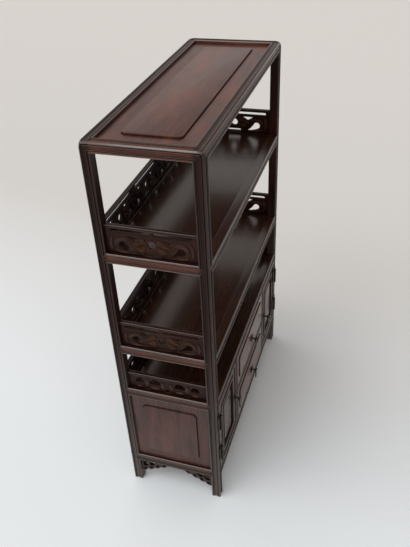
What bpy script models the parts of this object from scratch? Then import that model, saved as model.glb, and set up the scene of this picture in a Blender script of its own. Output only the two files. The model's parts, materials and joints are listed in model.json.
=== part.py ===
"""Freestanding display shelf in dark hardwood: open bays with pierced galleries over a small cabinet.

Metres, +Z up. X runs along the width, -Y is the front with the doors and drawers.
The origin is on the floor under the middle of the whole piece, pulls included.
"""

import math

import bmesh
import bpy
from mathutils import Matrix, Vector

# Overall sizes of the carcass
width = 0.410
depth = 0.150
height = 0.606
post = 0.014
fit = 0.0003

# Rails, and the heights of their top faces
rail_height = 0.015
top_rail_height = 0.014
floor_thickness = 0.008
upper_shelf_top = 0.456
lower_shelf_top = 0.300
cabinet_top = 0.216
cabinet_floor_top = 0.064

# Joinery
tenon_length = 0.007
tenon_height = 0.0055
tenon_thickness = 0.006
groove_depth = 0.0035
post_tenon = 0.006
post_tenon_length = 0.008

# Floating panels with a raised field
panel_thickness = 0.005
panel_sink = 0.0045
field_rise = 0.0025
field_margin = 0.023
end_field_margin = 0.019
field_corner = 0.006

# Galleries
gallery_thickness = 0.006
gallery_recess = 0.005
gallery_tall = 0.040
gallery_low = 0.029
gallery_cap = 0.0055
cap_overhang = 0.001
gallery_tongue = 0.0025
pattern_rim = 0.0012
slot_height = 0.0035
motif_end = 0.007
tall_motif_length = 0.092
low_motif_length = 0.110
disc_rise = 0.0165
disc_radius = 0.0055
bar_half = 0.011
bar_hole = 0.003
triangle_place = 0.023
triangle_half = 0.008
triangle_drop = 0.0065
comma_head = 0.0380
comma_rise = 0.0115
comma_radius = 0.0050
comma_tail = 0.0215
comma_fall = 0.0085
wide_arch_place = 0.019
wide_arch = 0.016
narrow_arch_place = 0.0425
narrow_arch = 0.013
foot_gap = 0.007
foot_gap_rise = 0.004
middle_gap_rise = 0.0055

# Brackets under the end rails
apron_thickness = 0.006
apron_recess = 0.004
apron_drop = 0.029
apron_arch = 0.0075
apron_reach = 0.046
apron_lobes = 3
apron_eye = 0.0028
apron_rim = 0.003

# Places of the bracket's holes, as shares of its reach and of its drop
eye_share = (0.17, 0.74)
comma_share = (0.33, 0.60)
comma_tip_share = (0.58, 0.42)
slot_share = (0.24, 0.42)
bar_share = (0.34, 0.16)

# Cabinet front
upright_thickness = 0.010
upright_place = 0.091
divider_thickness = 0.010
reveal = 0.0006
door_thickness = 0.012
door_stile = 0.018
door_panel_thickness = 0.004
door_panel_sink = 0.004
door_field_margin = 0.010
door_field_rise = 0.0025
drawer_front_thickness = 0.010
drawer_wall = 0.006
drawer_bottom = 0.004
drawer_back_gap = 0.0102
drawer_field_margin = 0.009
drawer_field_rise = 0.002

# Hinges
hinge_height = 0.030
hinge_leaf = 0.010
hinge_web = 0.0025
hinge_plate = 0.001
knuckle_radius = 0.002
pin_radius = 0.0009
hinge_inset = 0.034

# Drop pulls
rosette_radius = 0.0055
rosette_thickness = 0.001
pull_reach = 0.008
stem_radius = 0.0014
bar_radius = 0.0008
bar_length = 0.0072
lug_radius = 0.0018
pendant_width = 0.0095
pendant_length = 0.019
pendant_point = 0.0062
pendant_shoulder = 160
pendant_flank = 225
pendant_thickness = 0.0022

# Drawing fineness
arc_steps = 4
round_sides = 12
overcut = 0.002
sharp_angle = 40
weld_distance = 0.000001

WOOD = ("rosewood", (0.085, 0.032, 0.024), 0.32, 0.0)
BRASS = ("aged_brass", (0.10, 0.085, 0.06), 0.42, 0.9)

# Places worked out from the sizes above
lug_front = pull_reach + lug_radius
proud = drawer_field_rise + fit + lug_front
face_y = proud / 2 - depth / 2
mid_y = face_y + depth / 2
back_y = face_y + depth
half_width = width / 2
inner_x = half_width - post
inner_front = face_y + post
inner_back = back_y - post
inner_depth = inner_back - inner_front
bay_top = height - top_rail_height
case_low = cabinet_floor_top
case_high = cabinet_top - rail_height
hinge_y = face_y - fit - knuckle_radius

for old in list(bpy.data.objects):
    bpy.data.objects.remove(old)


def collection(name):
    group = bpy.data.collections.new(name)
    bpy.context.scene.collection.children.link(group)
    return group


parts = collection("display_shelf")
tools = collection("cutters")


def material(name, colour, roughness, metallic):
    made = bpy.data.materials.get(name)
    if made is None:
        made = bpy.data.materials.new(name)
        made.use_nodes = True
        shader = made.node_tree.nodes["Principled BSDF"]
        shader.inputs["Base Color"].default_value = (*colour, 1.0)
        shader.inputs["Roughness"].default_value = roughness
        shader.inputs["Metallic"].default_value = metallic
    return made


def place(name, mesh, location, finish=None):
    """A part when it has a finish, otherwise a cutter or a joined shape."""
    thing = bpy.data.objects.new(name, mesh)
    thing.location = location
    if finish:
        mesh.materials.append(material(*finish))
        parts.objects.link(thing)
    else:
        thing.hide_render = True
        thing.display_type = "WIRE"
        tools.objects.link(thing)
    return thing


def box(name, low, high, finish=None):
    low = Vector(low)
    high = Vector(high)
    size = high - low
    form = bmesh.new()
    bmesh.ops.create_cube(form, size=1.0, matrix=Matrix.Diagonal((*map(abs, size), 1.0)))
    mesh = bpy.data.meshes.new(name)
    form.to_mesh(mesh)
    form.free()
    return place(name, mesh, (low + high) / 2, finish)


def rod(name, centre, axis, radius, length, finish=None):
    """A round bar, turned by half a side so that flats face the walls beside it."""
    turn = Vector((0, 0, 1)).rotation_difference(Vector(axis)).to_matrix().to_4x4()
    turn = turn @ Matrix.Rotation(math.pi / round_sides, 4, "Z")
    form = bmesh.new()
    bmesh.ops.create_cone(
        form, cap_ends=True, segments=round_sides, radius1=radius, radius2=radius, depth=length, matrix=turn
    )
    mesh = bpy.data.meshes.new(name)
    form.to_mesh(mesh)
    form.free()
    mesh.shade_smooth()
    mesh.set_sharp_from_angle(angle=math.radians(sharp_angle))
    return place(name, mesh, centre, finish)


def board(name, outline, holes, thickness, centre, along, up, finish=None):
    """A flat outline with holes, drawn along two directions and given a thickness."""
    curve = bpy.data.curves.new(name, "CURVE")
    curve.dimensions = "2D"
    curve.fill_mode = "BOTH"
    curve.extrude = thickness / 2
    for loop in [outline, *holes]:
        spline = curve.splines.new("POLY")
        spline.points.add(len(loop) - 1)
        spline.use_cyclic_u = True
        for point, (across, rise) in zip(spline.points, loop):
            point.co = (across, rise, 0.0, 1.0)
    drawn = bpy.data.objects.new(name + "_outline", curve)
    tools.objects.link(drawn)
    evaluated = drawn.evaluated_get(bpy.context.evaluated_depsgraph_get())
    mesh = bpy.data.meshes.new_from_object(evaluated)
    bpy.data.objects.remove(drawn)
    form = bmesh.new()
    form.from_mesh(mesh)
    bmesh.ops.remove_doubles(form, verts=form.verts, dist=weld_distance)
    bmesh.ops.beautify_fill(form, faces=form.faces, edges=form.edges)
    along = Vector(along)
    up = Vector(up)
    frame = Matrix((along, up, along.cross(up))).transposed().to_4x4()
    bmesh.ops.transform(form, matrix=frame, verts=form.verts)
    bmesh.ops.recalc_face_normals(form, faces=form.faces)
    form.to_mesh(mesh)
    form.free()
    return place(name, mesh, centre, finish)


def boolean(piece, operation, others):
    for other in others:
        step = piece.modifiers.new(operation.lower() + "_" + other.name, "BOOLEAN")
        step.operation = operation
        step.solver = "EXACT"
        step.object = other
    return piece


def join(piece, *others):
    return boolean(piece, "UNION", others)


def cut(piece, *others):
    return boolean(piece, "DIFFERENCE", others)


def pivot(name, location):
    empty = bpy.data.objects.new(name, None)
    empty.location = location
    empty.empty_display_size = hinge_leaf
    parts.objects.link(empty)
    return empty


def carry(holder, *pieces):
    bpy.context.view_layer.update()
    for piece in pieces:
        piece.parent = holder
        piece.matrix_parent_inverse = holder.matrix_world.inverted()


# Outlines, each a list of points


def arc(centre, radius, start, stop, steps=arc_steps):
    """Points on an arc, angles in degrees, both ends included."""
    angles = [math.radians(start + (stop - start) * i / steps) for i in range(steps + 1)]
    return [(centre[0] + radius * math.cos(a), centre[1] + radius * math.sin(a)) for a in angles]


def ring(centre, radius):
    return arc(centre, radius, 0, 360, 2 * arc_steps)[:-1]


def rounded_rectangle(half_across, half_rise, corner):
    points = []
    for quarter, (side, way) in enumerate(((1, 1), (-1, 1), (-1, -1), (1, -1))):
        centre = (side * (half_across - corner), way * (half_rise - corner))
        points += arc(centre, corner, 90 * quarter, 90 * quarter + 90)
    return points


def round_slot(low, high, middle, thickness):
    radius = thickness / 2
    right = arc((high - radius, middle), radius, -90, 90)
    left = arc((low + radius, middle), radius, 90, 270)
    return right + left


def drop(head, radius, tail):
    """A comma: a round head that narrows to a point at the tail."""
    reach = Vector(tail) - Vector(head)
    heading = math.degrees(math.atan2(reach.y, reach.x))
    flank = math.degrees(math.acos(min(1.0, radius / reach.length)))
    return arc(head, radius, heading + flank, heading + 360 - flank, 2 * arc_steps) + [tail]


def flipped(loop):
    return [(-across, rise) for across, rise in reversed(loop)]


def both_ways(loops):
    return loops + [flipped(loop) for loop in loops]


def arch(middle, base, span, rise):
    """A half-round head over short sides."""
    radius = span / 2
    head = arc((middle, base + rise - radius), radius, 0, 180, 2 * arc_steps)
    return [(middle + radius, base), *head, (middle - radius, base)]


# Places on the carcass: side is -1 on the left and 1 on the right, way is -1 at the front and 1 at the back


def end_x(side, inset):
    return side * (half_width - inset)


def long_y(way, inset):
    return mid_y + way * (depth / 2 - inset)


def grown(low, high, by):
    """Bounds moved outward by a distance along each axis."""
    return Vector(low) - Vector(by), Vector(high) + Vector(by)


# Joints between rails and posts: long tenons sit above the end tenons, so that they miss inside the post


def long_tenon(name, side, way, top, slack=0.0):
    y = long_y(way, post / 2)
    z = top - rail_height / 4
    half = (tenon_thickness / 2 + slack, tenon_height / 2 + slack)
    low = (side * (inner_x - overcut), y - half[0], z - half[1])
    return box(name, low, (side * (inner_x + tenon_length + slack), y + half[0], z + half[1]))


def end_tenon(name, side, way, top, slack=0.0):
    x = end_x(side, post / 2)
    z = top - 3 * rail_height / 4
    half = (tenon_thickness / 2 + slack, tenon_height / 2 + slack)
    low = (x - half[0], long_y(way, post + overcut), z - half[1])
    return box(name, low, (x + half[0], long_y(way, post - tenon_length - slack), z + half[1]))


def post_tenon_box(name, side, way, slack=0.0):
    x = end_x(side, post / 2)
    y = long_y(way, post / 2)
    reach = post_tenon / 2 + slack
    low = (x - reach, y - reach, bay_top - overcut)
    high = (x + reach, y + reach, bay_top + post_tenon_length + slack)
    return box(name, low, high)


# Grooves that take panels and galleries


def end_groove(name, side, inset, thickness, low, high, depth_in):
    """A groove in the inner faces of both posts of an end, cut as one long box."""
    return box(
        name,
        (end_x(side, inset - fit), inner_front - depth_in, low),
        (end_x(side, inset + thickness + fit), inner_back + depth_in, high),
    )


def back_groove(name, inset, thickness, low, high, depth_in):
    return box(
        name,
        (-inner_x - depth_in, long_y(1, inset - fit), low),
        (inner_x + depth_in, long_y(1, inset + thickness + fit), high),
    )


levels = {
    "upper_shelf": (upper_shelf_top, gallery_tall),
    "lower_shelf": (lower_shelf_top, gallery_tall),
    "cabinet_top": (cabinet_top, gallery_low),
}
sides = {"left": -1, "right": 1}
ways = {"front": -1, "back": 1}


def corner_post(name, side, way):
    low = (end_x(side, 0), long_y(way, 0), 0)
    piece = box(name, low, (side * inner_x, long_y(way, post), bay_top - fit), WOOD)
    join(piece, post_tenon_box(name + "_tenon", side, way))
    for level, top in [*((key, value[0]) for key, value in levels.items()), ("floor", cabinet_floor_top)]:
        cut(piece, long_tenon(f"{name}_{level}_long", side, way, top, fit))
        cut(piece, end_tenon(f"{name}_{level}_end", side, way, top, fit))
    for level, (top, tall) in levels.items():
        high = top + tall - gallery_cap + 2 * fit
        slot = (gallery_recess, gallery_thickness, top, high, gallery_tongue + fit)
        cut(piece, end_groove(f"{name}_{level}_slot", side, *slot))
        if way > 0:
            cut(piece, back_groove(f"{name}_{level}_back_slot", *slot))
    panel_groove = (panel_sink, panel_thickness, case_low, case_high, groove_depth + fit)
    cut(piece, end_groove(name + "_panel", side, *panel_groove))
    if way > 0:
        cut(piece, back_groove(name + "_back_panel", *panel_groove))
    return piece


def shelf_groove(name, top):
    """The hollow round a shelf opening that takes the edges of its panel."""
    low = (-inner_x, inner_front, top - panel_sink - panel_thickness - fit)
    high = (inner_x, inner_back, top - panel_sink + fit)
    return box(name, *grown(low, high, (groove_depth + fit, groove_depth + fit, 0)))


def long_rail(name, way, top):
    low = (fit - inner_x, long_y(way, 0), top - rail_height)
    piece = box(name, low, (inner_x - fit, long_y(way, post), top), WOOD)
    for end, side in sides.items():
        join(piece, long_tenon(f"{name}_{end}_tenon", side, way, top))
    return cut(piece, shelf_groove(name + "_groove", top))


def end_rail(name, side, top):
    low = (end_x(side, 0), inner_front + fit, top - rail_height)
    piece = box(name, low, (side * inner_x, inner_back - fit, top), WOOD)
    for end, way in ways.items():
        join(piece, end_tenon(f"{name}_{end}_tenon", side, way, top))
    return cut(piece, shelf_groove(name + "_groove", top))


def floating_panel(name, low, high, normal, margin, rise):
    """A plate whose edges sit in grooves on four sides, with a raised field where margin is given."""
    axis = [index for index in range(3) if normal[index]][0]
    first, second = [index for index in range(3) if index != axis]
    reach = [0.0, 0.0, 0.0]
    reach[first] = groove_depth - fit
    reach[second] = -fit
    piece = box(name, *grown(low, high, reach), WOOD)
    reach[first] = -fit
    reach[second] = groove_depth - fit
    join(piece, box(name + "_wing", *grown(low, high, reach)))
    if margin:
        size = Vector(high) - Vector(low)
        thickness = size[axis] / 2 + rise
        outline = rounded_rectangle(size[first] / 2 - margin, size[second] / 2 - margin, field_corner)
        centre = (Vector(low) + Vector(high)) / 2 + Vector(normal) * thickness / 2
        unit = [Vector((1, 0, 0)), Vector((0, 1, 0)), Vector((0, 0, 1))]
        join(piece, board(name + "_field", outline, [], thickness, centre, unit[first], unit[second]))
    return piece


def shelf_panel(name, top):
    low = (-inner_x, inner_front, top - panel_sink - panel_thickness)
    high = (inner_x, inner_back, top - panel_sink)
    return floating_panel(name, low, high, (0, 0, 1), field_margin, field_rise)


def end_panel(name, side):
    ends = sorted((end_x(side, panel_sink), end_x(side, panel_sink + panel_thickness)))
    low = (ends[0], inner_front, case_low)
    high = (ends[1], inner_back, case_high)
    return floating_panel(name, low, high, (side, 0, 0), end_field_margin, field_rise)


def back_panel(name):
    low = (-inner_x, long_y(1, panel_sink + panel_thickness), case_low)
    high = (inner_x, long_y(1, panel_sink), case_high)
    return floating_panel(name, low, high, (0, 1, 0), 0, 0)


def top_frame(name):
    piece = box(name, (-half_width, face_y, bay_top), (half_width, back_y, height), WOOD)
    low = (-inner_x, inner_front, bay_top - overcut)
    opening = box(name + "_opening", low, (inner_x, inner_back, height + overcut))
    cut(piece, opening, shelf_groove(name + "_groove", height))
    for end, side in sides.items():
        for face, way in ways.items():
            cut(piece, post_tenon_box(f"{name}_{face}_{end}_socket", side, way, fit))
    return piece


def rail_grooves(piece, low, high):
    """Grooves in a rail, or in the floor, for the edges of the end and back panels."""
    seat = (panel_sink, panel_thickness, low, high, -fit)
    for end, side in sides.items():
        cut(piece, end_groove(f"{piece.name}_{end}_seat", side, *seat))
    return cut(piece, back_groove(piece.name + "_back_seat", *seat))


def cabinet_floor(name):
    """The board behind the doors and drawers, with the four rails it is glued to."""
    top = cabinet_floor_top
    low = top - rail_height
    under = top - floor_thickness
    length = inner_x - fit
    front = inner_front + fit
    back = inner_back - fit
    piece = box(name, (-length, front - overcut, under), (length, back + overcut, top), WOOD)
    join(piece, box(name + "_across", (-inner_x - overcut, front, under), (inner_x + overcut, back, top)))
    for face, way in ways.items():
        join(piece, box(f"{name}_{face}", (-length, long_y(way, 0), low), (length, long_y(way, post), top)))
        for end, side in sides.items():
            join(piece, long_tenon(f"{name}_{face}_{end}_long", side, way, top))
            join(piece, end_tenon(f"{name}_{face}_{end}_end", side, way, top))
    for end, side in sides.items():
        join(piece, box(f"{name}_{end}", (end_x(side, 0), front, low), (side * inner_x, back, top)))
    return rail_grooves(piece, top - groove_depth, top + overcut)


# Pierced galleries


def tall_motif(middle, span, zone):
    """Holes of the tall galleries: a slot, a disc over a bar, triangles and commas."""
    reach = span / 2 - motif_end
    slot_middle = zone + pattern_rim + slot_height / 2
    triangle = [
        (triangle_place - triangle_half, zone - pattern_rim),
        (triangle_place, zone - pattern_rim - triangle_drop),
        (triangle_place + triangle_half, zone - pattern_rim),
    ]
    comma = drop((comma_head, comma_rise), comma_radius, (comma_tail, comma_rise - comma_fall))
    loops = [
        round_slot(-reach, reach, slot_middle, slot_height),
        ring((0, disc_rise), disc_radius),
        round_slot(-bar_half, bar_half, pattern_rim + bar_hole / 2, bar_hole),
        *both_ways([triangle, comma]),
    ]
    return [[(middle + across, rise) for across, rise in loop] for loop in loops]


def low_motif(middle, span, zone):
    """Holes of the low galleries: four arches over small gaps."""
    wide = arch(wide_arch_place, zone / 2, wide_arch, zone / 2 - pattern_rim)
    narrow = arch(narrow_arch_place, zone / 2, narrow_arch, zone / 2 - 2 * pattern_rim)
    gap = arch((wide_arch_place + narrow_arch_place) / 2, pattern_rim, foot_gap, foot_gap_rise)
    middle_gap = arch(0, pattern_rim, foot_gap, middle_gap_rise)
    loops = [middle_gap, *both_ways([wide, narrow, gap])]
    return [[(middle + across, rise) for across, rise in loop] for loop in loops]


def gallery(name, length, top, tall, centre_xy, along):
    """A board with tongues at its ends, a cap along its top, and a motif repeated along it."""
    body = length / 2 - fit
    tongue = length / 2 + gallery_tongue - fit
    neck = body - overcut
    shoulder = tall - gallery_cap
    tongue_top = shoulder - fit
    neck_top = tall - gallery_cap / 2
    right = [(tongue, 0), (tongue, tongue_top), (neck, tongue_top), (neck, neck_top)]
    outline = right + flipped(right)
    slotted = tall == gallery_tall
    motif = tall_motif if slotted else low_motif
    zone = shoulder - 2 * pattern_rim - (slot_height if slotted else 0)
    repeats = max(1, int(length / (tall_motif_length if slotted else low_motif_length)))
    pitch = length / repeats
    holes = []
    for index in range(repeats):
        holes += motif((index + 0.5) * pitch - length / 2, pitch, zone)
    seat = Vector((*centre_xy, top + fit))
    piece = board(name, outline, holes, gallery_thickness, seat, along, (0, 0, 1), WOOD)
    along = Vector(along)
    across = Vector((0, 0, 1)).cross(along) * (gallery_thickness / 2 + cap_overhang)
    low = seat - along * body - across + Vector((0, 0, shoulder))
    high = seat + along * body + across + Vector((0, 0, tall))
    return join(piece, box(name + "_cap", low, high))


def end_apron(name, side):
    """A board under an end rail, arched in the middle, with pierced brackets at the posts."""
    half = inner_depth / 2 - fit
    start = half - apron_reach
    lobe_run = apron_reach / apron_lobes
    lobe_fall = (apron_drop - apron_arch) / apron_lobes
    edge = []
    for lobe in range(apron_lobes):
        for step in range(arc_steps):
            turn = math.pi / 2 * step / arc_steps
            across = start + lobe_run * (lobe + math.sin(turn))
            edge.append((across, -apron_arch - lobe_fall * (lobe + 1 - math.cos(turn))))
    edge.append((half, -apron_drop))
    outline = [(-half, 0), *flipped(edge), *edge, (half, 0)]

    def hole_at(share):
        return half - apron_reach * share[0], -apron_drop * share[1]

    slot_start, slot_rise = hole_at(slot_share)
    bar_stop, bar_rise = hole_at(bar_share)
    bracket = [
        ring(hole_at(eye_share), apron_eye),
        drop(hole_at(comma_share), apron_eye, hole_at(comma_tip_share)),
        round_slot(slot_start, half - apron_rim, slot_rise, apron_eye),
        round_slot(start, bar_stop, bar_rise, apron_eye),
    ]
    seat = (end_x(side, apron_recess + apron_thickness / 2), mid_y, case_low - rail_height - fit)
    return board(name, outline, both_ways(bracket), apron_thickness, seat, (0, 1, 0), (0, 0, 1), WOOD)


# Cabinet front


upright_inner = upright_place - upright_thickness / 2
upright_outer = upright_place + upright_thickness / 2
inside_back = long_y(1, panel_sink + panel_thickness) - fit
divider_middle = (case_low + case_high) / 2
divider_low = divider_middle - divider_thickness / 2
divider_high = divider_middle + divider_thickness / 2

# A door's free edge keeps off the upright by what its inner corner needs to swing past
door_span = inner_x - reveal / 2 - upright_outer
swing_depth = door_thickness + knuckle_radius + fit
swing_gap = door_span - math.sqrt((door_span - fit) ** 2 - swing_depth**2)


def drawer_case(name):
    """The two uprights beside the drawers and the divider between the drawers."""
    low = (-upright_place, face_y, divider_low)
    piece = box(name, low, (upright_place, inside_back, divider_high), WOOD)
    for end, side in sides.items():
        low = (side * upright_inner, face_y, case_low + fit)
        join(piece, box(f"{name}_{end}", low, (side * upright_outer, inside_back, case_high - fit)))
    return piece


def front_field(name, low, high, surface, rise, margin):
    """A raised field with round corners on a front, between two corners given as x and z."""
    half = ((high[0] - low[0]) / 2 - margin, (high[1] - low[1]) / 2 - margin)
    thickness = rise + overcut
    centre = ((low[0] + high[0]) / 2, surface - rise + thickness / 2, (low[1] + high[1]) / 2)
    return board(name, rounded_rectangle(*half, field_corner), [], thickness, centre, (1, 0, 0), (0, 0, 1))


def door_bounds(side):
    edges = sorted((side * (upright_outer + swing_gap), side * (inner_x - reveal)))
    return (edges[0], case_low + reveal), (edges[1], case_high - reveal)


def door_frame(name, side):
    low, high = door_bounds(side)
    piece = box(name, (low[0], face_y, low[1]), (high[0], face_y + door_thickness, high[1]), WOOD)
    opening_low = (low[0] + door_stile, face_y - overcut, low[1] + door_stile)
    opening_high = (high[0] - door_stile, face_y + door_thickness + overcut, high[1] - door_stile)
    plate = face_y + door_panel_sink
    groove_low = (opening_low[0], plate - fit, opening_low[2])
    groove_high = (opening_high[0], plate + door_panel_thickness + fit, opening_high[2])
    reach = (groove_depth + fit, 0, groove_depth + fit)
    groove = box(name + "_groove", *grown(groove_low, groove_high, reach))
    return cut(piece, box(name + "_opening", opening_low, opening_high), groove)


def door_panel(name, side):
    low, high = door_bounds(side)
    plate = face_y + door_panel_sink
    low = (low[0] + door_stile, plate, low[1] + door_stile)
    high = (high[0] - door_stile, plate + door_panel_thickness, high[1] - door_stile)
    return floating_panel(name, low, high, (0, -1, 0), door_field_margin, door_field_rise)


def drawer(name, low_z, high_z):
    half = upright_inner - reveal
    low = (-half, face_y, low_z + reveal)
    high = (half, inside_back - drawer_back_gap, high_z - reveal)
    piece = box(name, low, high, WOOD)
    cavity_low = (drawer_wall - half, face_y + drawer_front_thickness, low[2] + drawer_bottom)
    cavity_high = (half - drawer_wall, high[1] - drawer_wall, high[2] + overcut)
    cut(piece, box(name + "_cavity", cavity_low, cavity_high))
    corners = ((low[0], low[2]), (high[0], high[2]))
    join(piece, front_field(name + "_field", *corners, face_y, drawer_field_rise, drawer_field_margin))
    return piece


# Hinges: the post leaf carries the pin and the outer knuckles, the door leaf the middle one


def hinge_line(side):
    return side * (inner_x - reveal / 2)


def leaf_plate(name, inward, axis_x, z, finish):
    near = axis_x + inward * (knuckle_radius + fit)
    low = (near, face_y - fit - hinge_plate, z - hinge_height / 2)
    return box(name, low, (axis_x + inward * hinge_leaf, face_y - fit, z + hinge_height / 2), finish)


def knuckle(name, piece, inward, axis_x, low, high):
    """A short barrel on the axis and the web that joins it to its plate."""
    middle = (low + high) / 2
    join(piece, rod(name, (axis_x, hinge_y, middle), (0, 0, 1), knuckle_radius, high - low))
    web_low = (axis_x, face_y - fit - hinge_plate, low)
    web_high = (axis_x + inward * (knuckle_radius + hinge_web), face_y - fit, high)
    return join(piece, box(name + "_web", web_low, web_high))


def hinge(name, side, z):
    axis_x = hinge_line(side)
    low = z - hinge_height / 2
    third = hinge_height / 3
    fixed = leaf_plate(name + "_post_leaf", side, axis_x, z, BRASS)
    knuckle(name + "_low_knuckle", fixed, side, axis_x, low, low + third - fit)
    knuckle(name + "_high_knuckle", fixed, side, axis_x, low + 2 * third + fit, low + hinge_height)
    join(fixed, rod(name + "_pin", (axis_x, hinge_y, z), (0, 0, 1), pin_radius, hinge_height - overcut))
    moving = leaf_plate(name + "_door_leaf", -side, axis_x, z, BRASS)
    knuckle(name + "_knuckle", moving, -side, axis_x, low + third, low + 2 * third)
    bore = rod(name + "_bore", (axis_x, hinge_y, z), (0, 0, 1), pin_radius + fit, hinge_height + overcut)
    cut(moving, bore)
    return moving


# Drop pulls: a rosette with a stem and a cross bar, and a pendant that swings on the bar


def rosette(name, x, surface, z):
    axis_y = surface - fit - pull_reach
    base = (x, surface - fit - rosette_thickness / 2, z)
    piece = rod(name, base, (0, 1, 0), rosette_radius, rosette_thickness, BRASS)
    stem_length = pull_reach + bar_radius - rosette_thickness / 2
    stem_middle = (x, axis_y - bar_radius + stem_length / 2, z)
    join(piece, rod(name + "_stem", stem_middle, (0, 1, 0), stem_radius, stem_length))
    return join(piece, rod(name + "_bar", (x, axis_y, z), (1, 0, 0), bar_radius, bar_length))


def pendant(name, x, surface, z):
    axis_y = surface - fit - pull_reach
    notch = stem_radius + fit
    outer = bar_length / 2
    belly = pendant_width / 2
    belly_drop = pendant_length - pendant_point
    neck = lug_radius + 2 * fit
    ear_in = notch + fit
    ear_out = outer - fit
    left = [(-ear_in, -neck), (-ear_in, 0), (-ear_out, 0), (-ear_out, -neck)]
    left += arc((0, -belly_drop), belly, pendant_shoulder, pendant_flank)
    outline = [*left, (0, -pendant_length), *flipped(left)]
    piece = board(name, outline, [], pendant_thickness, (x, axis_y, z), (1, 0, 0), (0, 0, 1), BRASS)
    lug_length = outer - notch
    for end, side in sides.items():
        centre = (x + side * (notch + lug_length / 2), axis_y, z)
        join(piece, rod(f"{name}_{end}_lug", centre, (1, 0, 0), lug_radius, lug_length))
    bore = rod(name + "_bore", (x, axis_y, z), (1, 0, 0), bar_radius + fit, bar_length + overcut)
    return cut(piece, bore)


def pull(name, holder, x, surface, z):
    base = rosette(name + "_rosette", x, surface, z)
    swing = pendant(name + "_pendant", x, surface, z)
    carry(holder, base)
    axis = pivot(name + "_axis", (x, surface - fit - pull_reach, z))
    carry(holder, axis)
    carry(axis, swing)


# The carcass


for end, side in sides.items():
    for face, way in ways.items():
        corner_post(f"{face}_{end}_post", side, way)

top_frame("top_frame")
shelf_panel("top_panel", height)

for level, (top, tall) in levels.items():
    rails = [long_rail(f"{level}_{face}_rail", way, top) for face, way in ways.items()]
    rails += [end_rail(f"{level}_{end}_rail", side, top) for end, side in sides.items()]
    if level == "cabinet_top":
        for rail in rails:
            rail_grooves(rail, case_high - overcut, case_high + groove_depth)
    shelf_panel(level + "_panel", top)
    inset = gallery_recess + gallery_thickness / 2
    for end, side in sides.items():
        gallery(f"{level}_{end}_gallery", inner_depth, top, tall, (end_x(side, inset), mid_y), (0, 1, 0))
    gallery(level + "_back_gallery", 2 * inner_x, top, tall, (0, long_y(1, inset)), (1, 0, 0))

cabinet_floor("cabinet_floor")
back_panel("cabinet_back_panel")
drawer_case("drawer_case")
for end, side in sides.items():
    end_panel(f"cabinet_{end}_panel", side)
    end_apron(f"{end}_apron", side)

# The moving pieces, each carried by an empty on its joint

door_middle = (case_low + case_high) / 2
for end, side in sides.items():
    name = end + "_door"
    axis = pivot(name + "_axis", (hinge_line(side), hinge_y, door_middle))
    carry(axis, door_frame(name + "_frame", side), door_panel(name + "_panel", side))
    for place_name, z in (("upper", case_high - hinge_inset), ("lower", case_low + hinge_inset)):
        carry(axis, hinge(f"{end}_{place_name}_hinge", side, z))
    pull(name, axis, side * (upright_outer + swing_gap + door_stile / 2), face_y, door_middle)

for name, low_z, high_z in (
    ("upper_drawer", divider_high, case_high),
    ("lower_drawer", case_low, divider_low),
):
    axis = pivot(name + "_slide", (0, face_y, (low_z + high_z) / 2))
    carry(axis, drawer(name, low_z, high_z))
    pull(name, axis, 0, face_y - drawer_field_rise, (low_z + high_z) / 2)
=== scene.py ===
"""Looks of a freestanding display shelf in dark polished hardwood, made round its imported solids.

Metres, +Z up, in the frame of the solids. -Y is the front with the doors and drawers.
"""

import json
import math

import bmesh
import bpy
from mathutils import Matrix, Vector


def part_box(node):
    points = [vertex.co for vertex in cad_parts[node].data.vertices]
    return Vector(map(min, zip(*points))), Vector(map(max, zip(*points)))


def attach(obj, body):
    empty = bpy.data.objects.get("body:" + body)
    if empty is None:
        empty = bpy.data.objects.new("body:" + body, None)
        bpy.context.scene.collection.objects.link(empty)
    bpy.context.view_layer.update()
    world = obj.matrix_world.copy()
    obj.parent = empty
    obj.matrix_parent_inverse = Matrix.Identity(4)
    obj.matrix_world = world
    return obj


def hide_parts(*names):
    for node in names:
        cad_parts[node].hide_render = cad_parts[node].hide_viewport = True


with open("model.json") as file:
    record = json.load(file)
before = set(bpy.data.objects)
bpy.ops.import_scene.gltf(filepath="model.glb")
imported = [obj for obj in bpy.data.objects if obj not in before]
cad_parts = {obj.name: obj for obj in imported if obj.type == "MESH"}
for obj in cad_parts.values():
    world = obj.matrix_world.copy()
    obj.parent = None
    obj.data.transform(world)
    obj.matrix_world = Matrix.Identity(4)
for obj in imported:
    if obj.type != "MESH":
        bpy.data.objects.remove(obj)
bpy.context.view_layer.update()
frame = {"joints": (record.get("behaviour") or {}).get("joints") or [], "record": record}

SIDES = {"left": -1, "right": 1}
WAYS = {"front": -1, "back": 1}
POSTS = ("front_left", "front_right", "back_right", "back_left")
LEVELS = ("upper_shelf", "lower_shelf", "cabinet_top")
DOORS = ("left_door", "right_door")
DRAWERS = ("upper_drawer", "lower_drawer")
X, Y, Z = (Vector(axis) for axis in ((1, 0, 0), (0, 1, 0), (0, 0, 1)))
BODY_OF = {solid: body for body, solids in frame["record"]["behaviour"]["bodies"].items() for solid in solids}
HALF_TURN = math.pi
QUARTER_TURN = math.pi / 2
EIGHTH_TURN = math.pi / 4

# Places in a piece's list of finishes, after its first
SECOND, THIRD, FOURTH = 1, 2, 3

# Sockets of the node that mixes two colours
MIX_FACTOR, MIX_FIRST, MIX_SECOND, MIX_RESULT = 0, 6, 7, 2

# Mouldings on the posts and rails
bead = 0.0023
bead_fall = 0.0005
bead_drop = 0.0004
quirk = 0.0004
quirk_depth = 0.0010
quirk_bottom = 0.0003
ridge = 0.0005
ridge_run = 0.0004
ridge_rise = 0.0010
ridge_fall = 0.0008
hollow_run = 0.0014
hollow_depth = 0.0003
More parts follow.
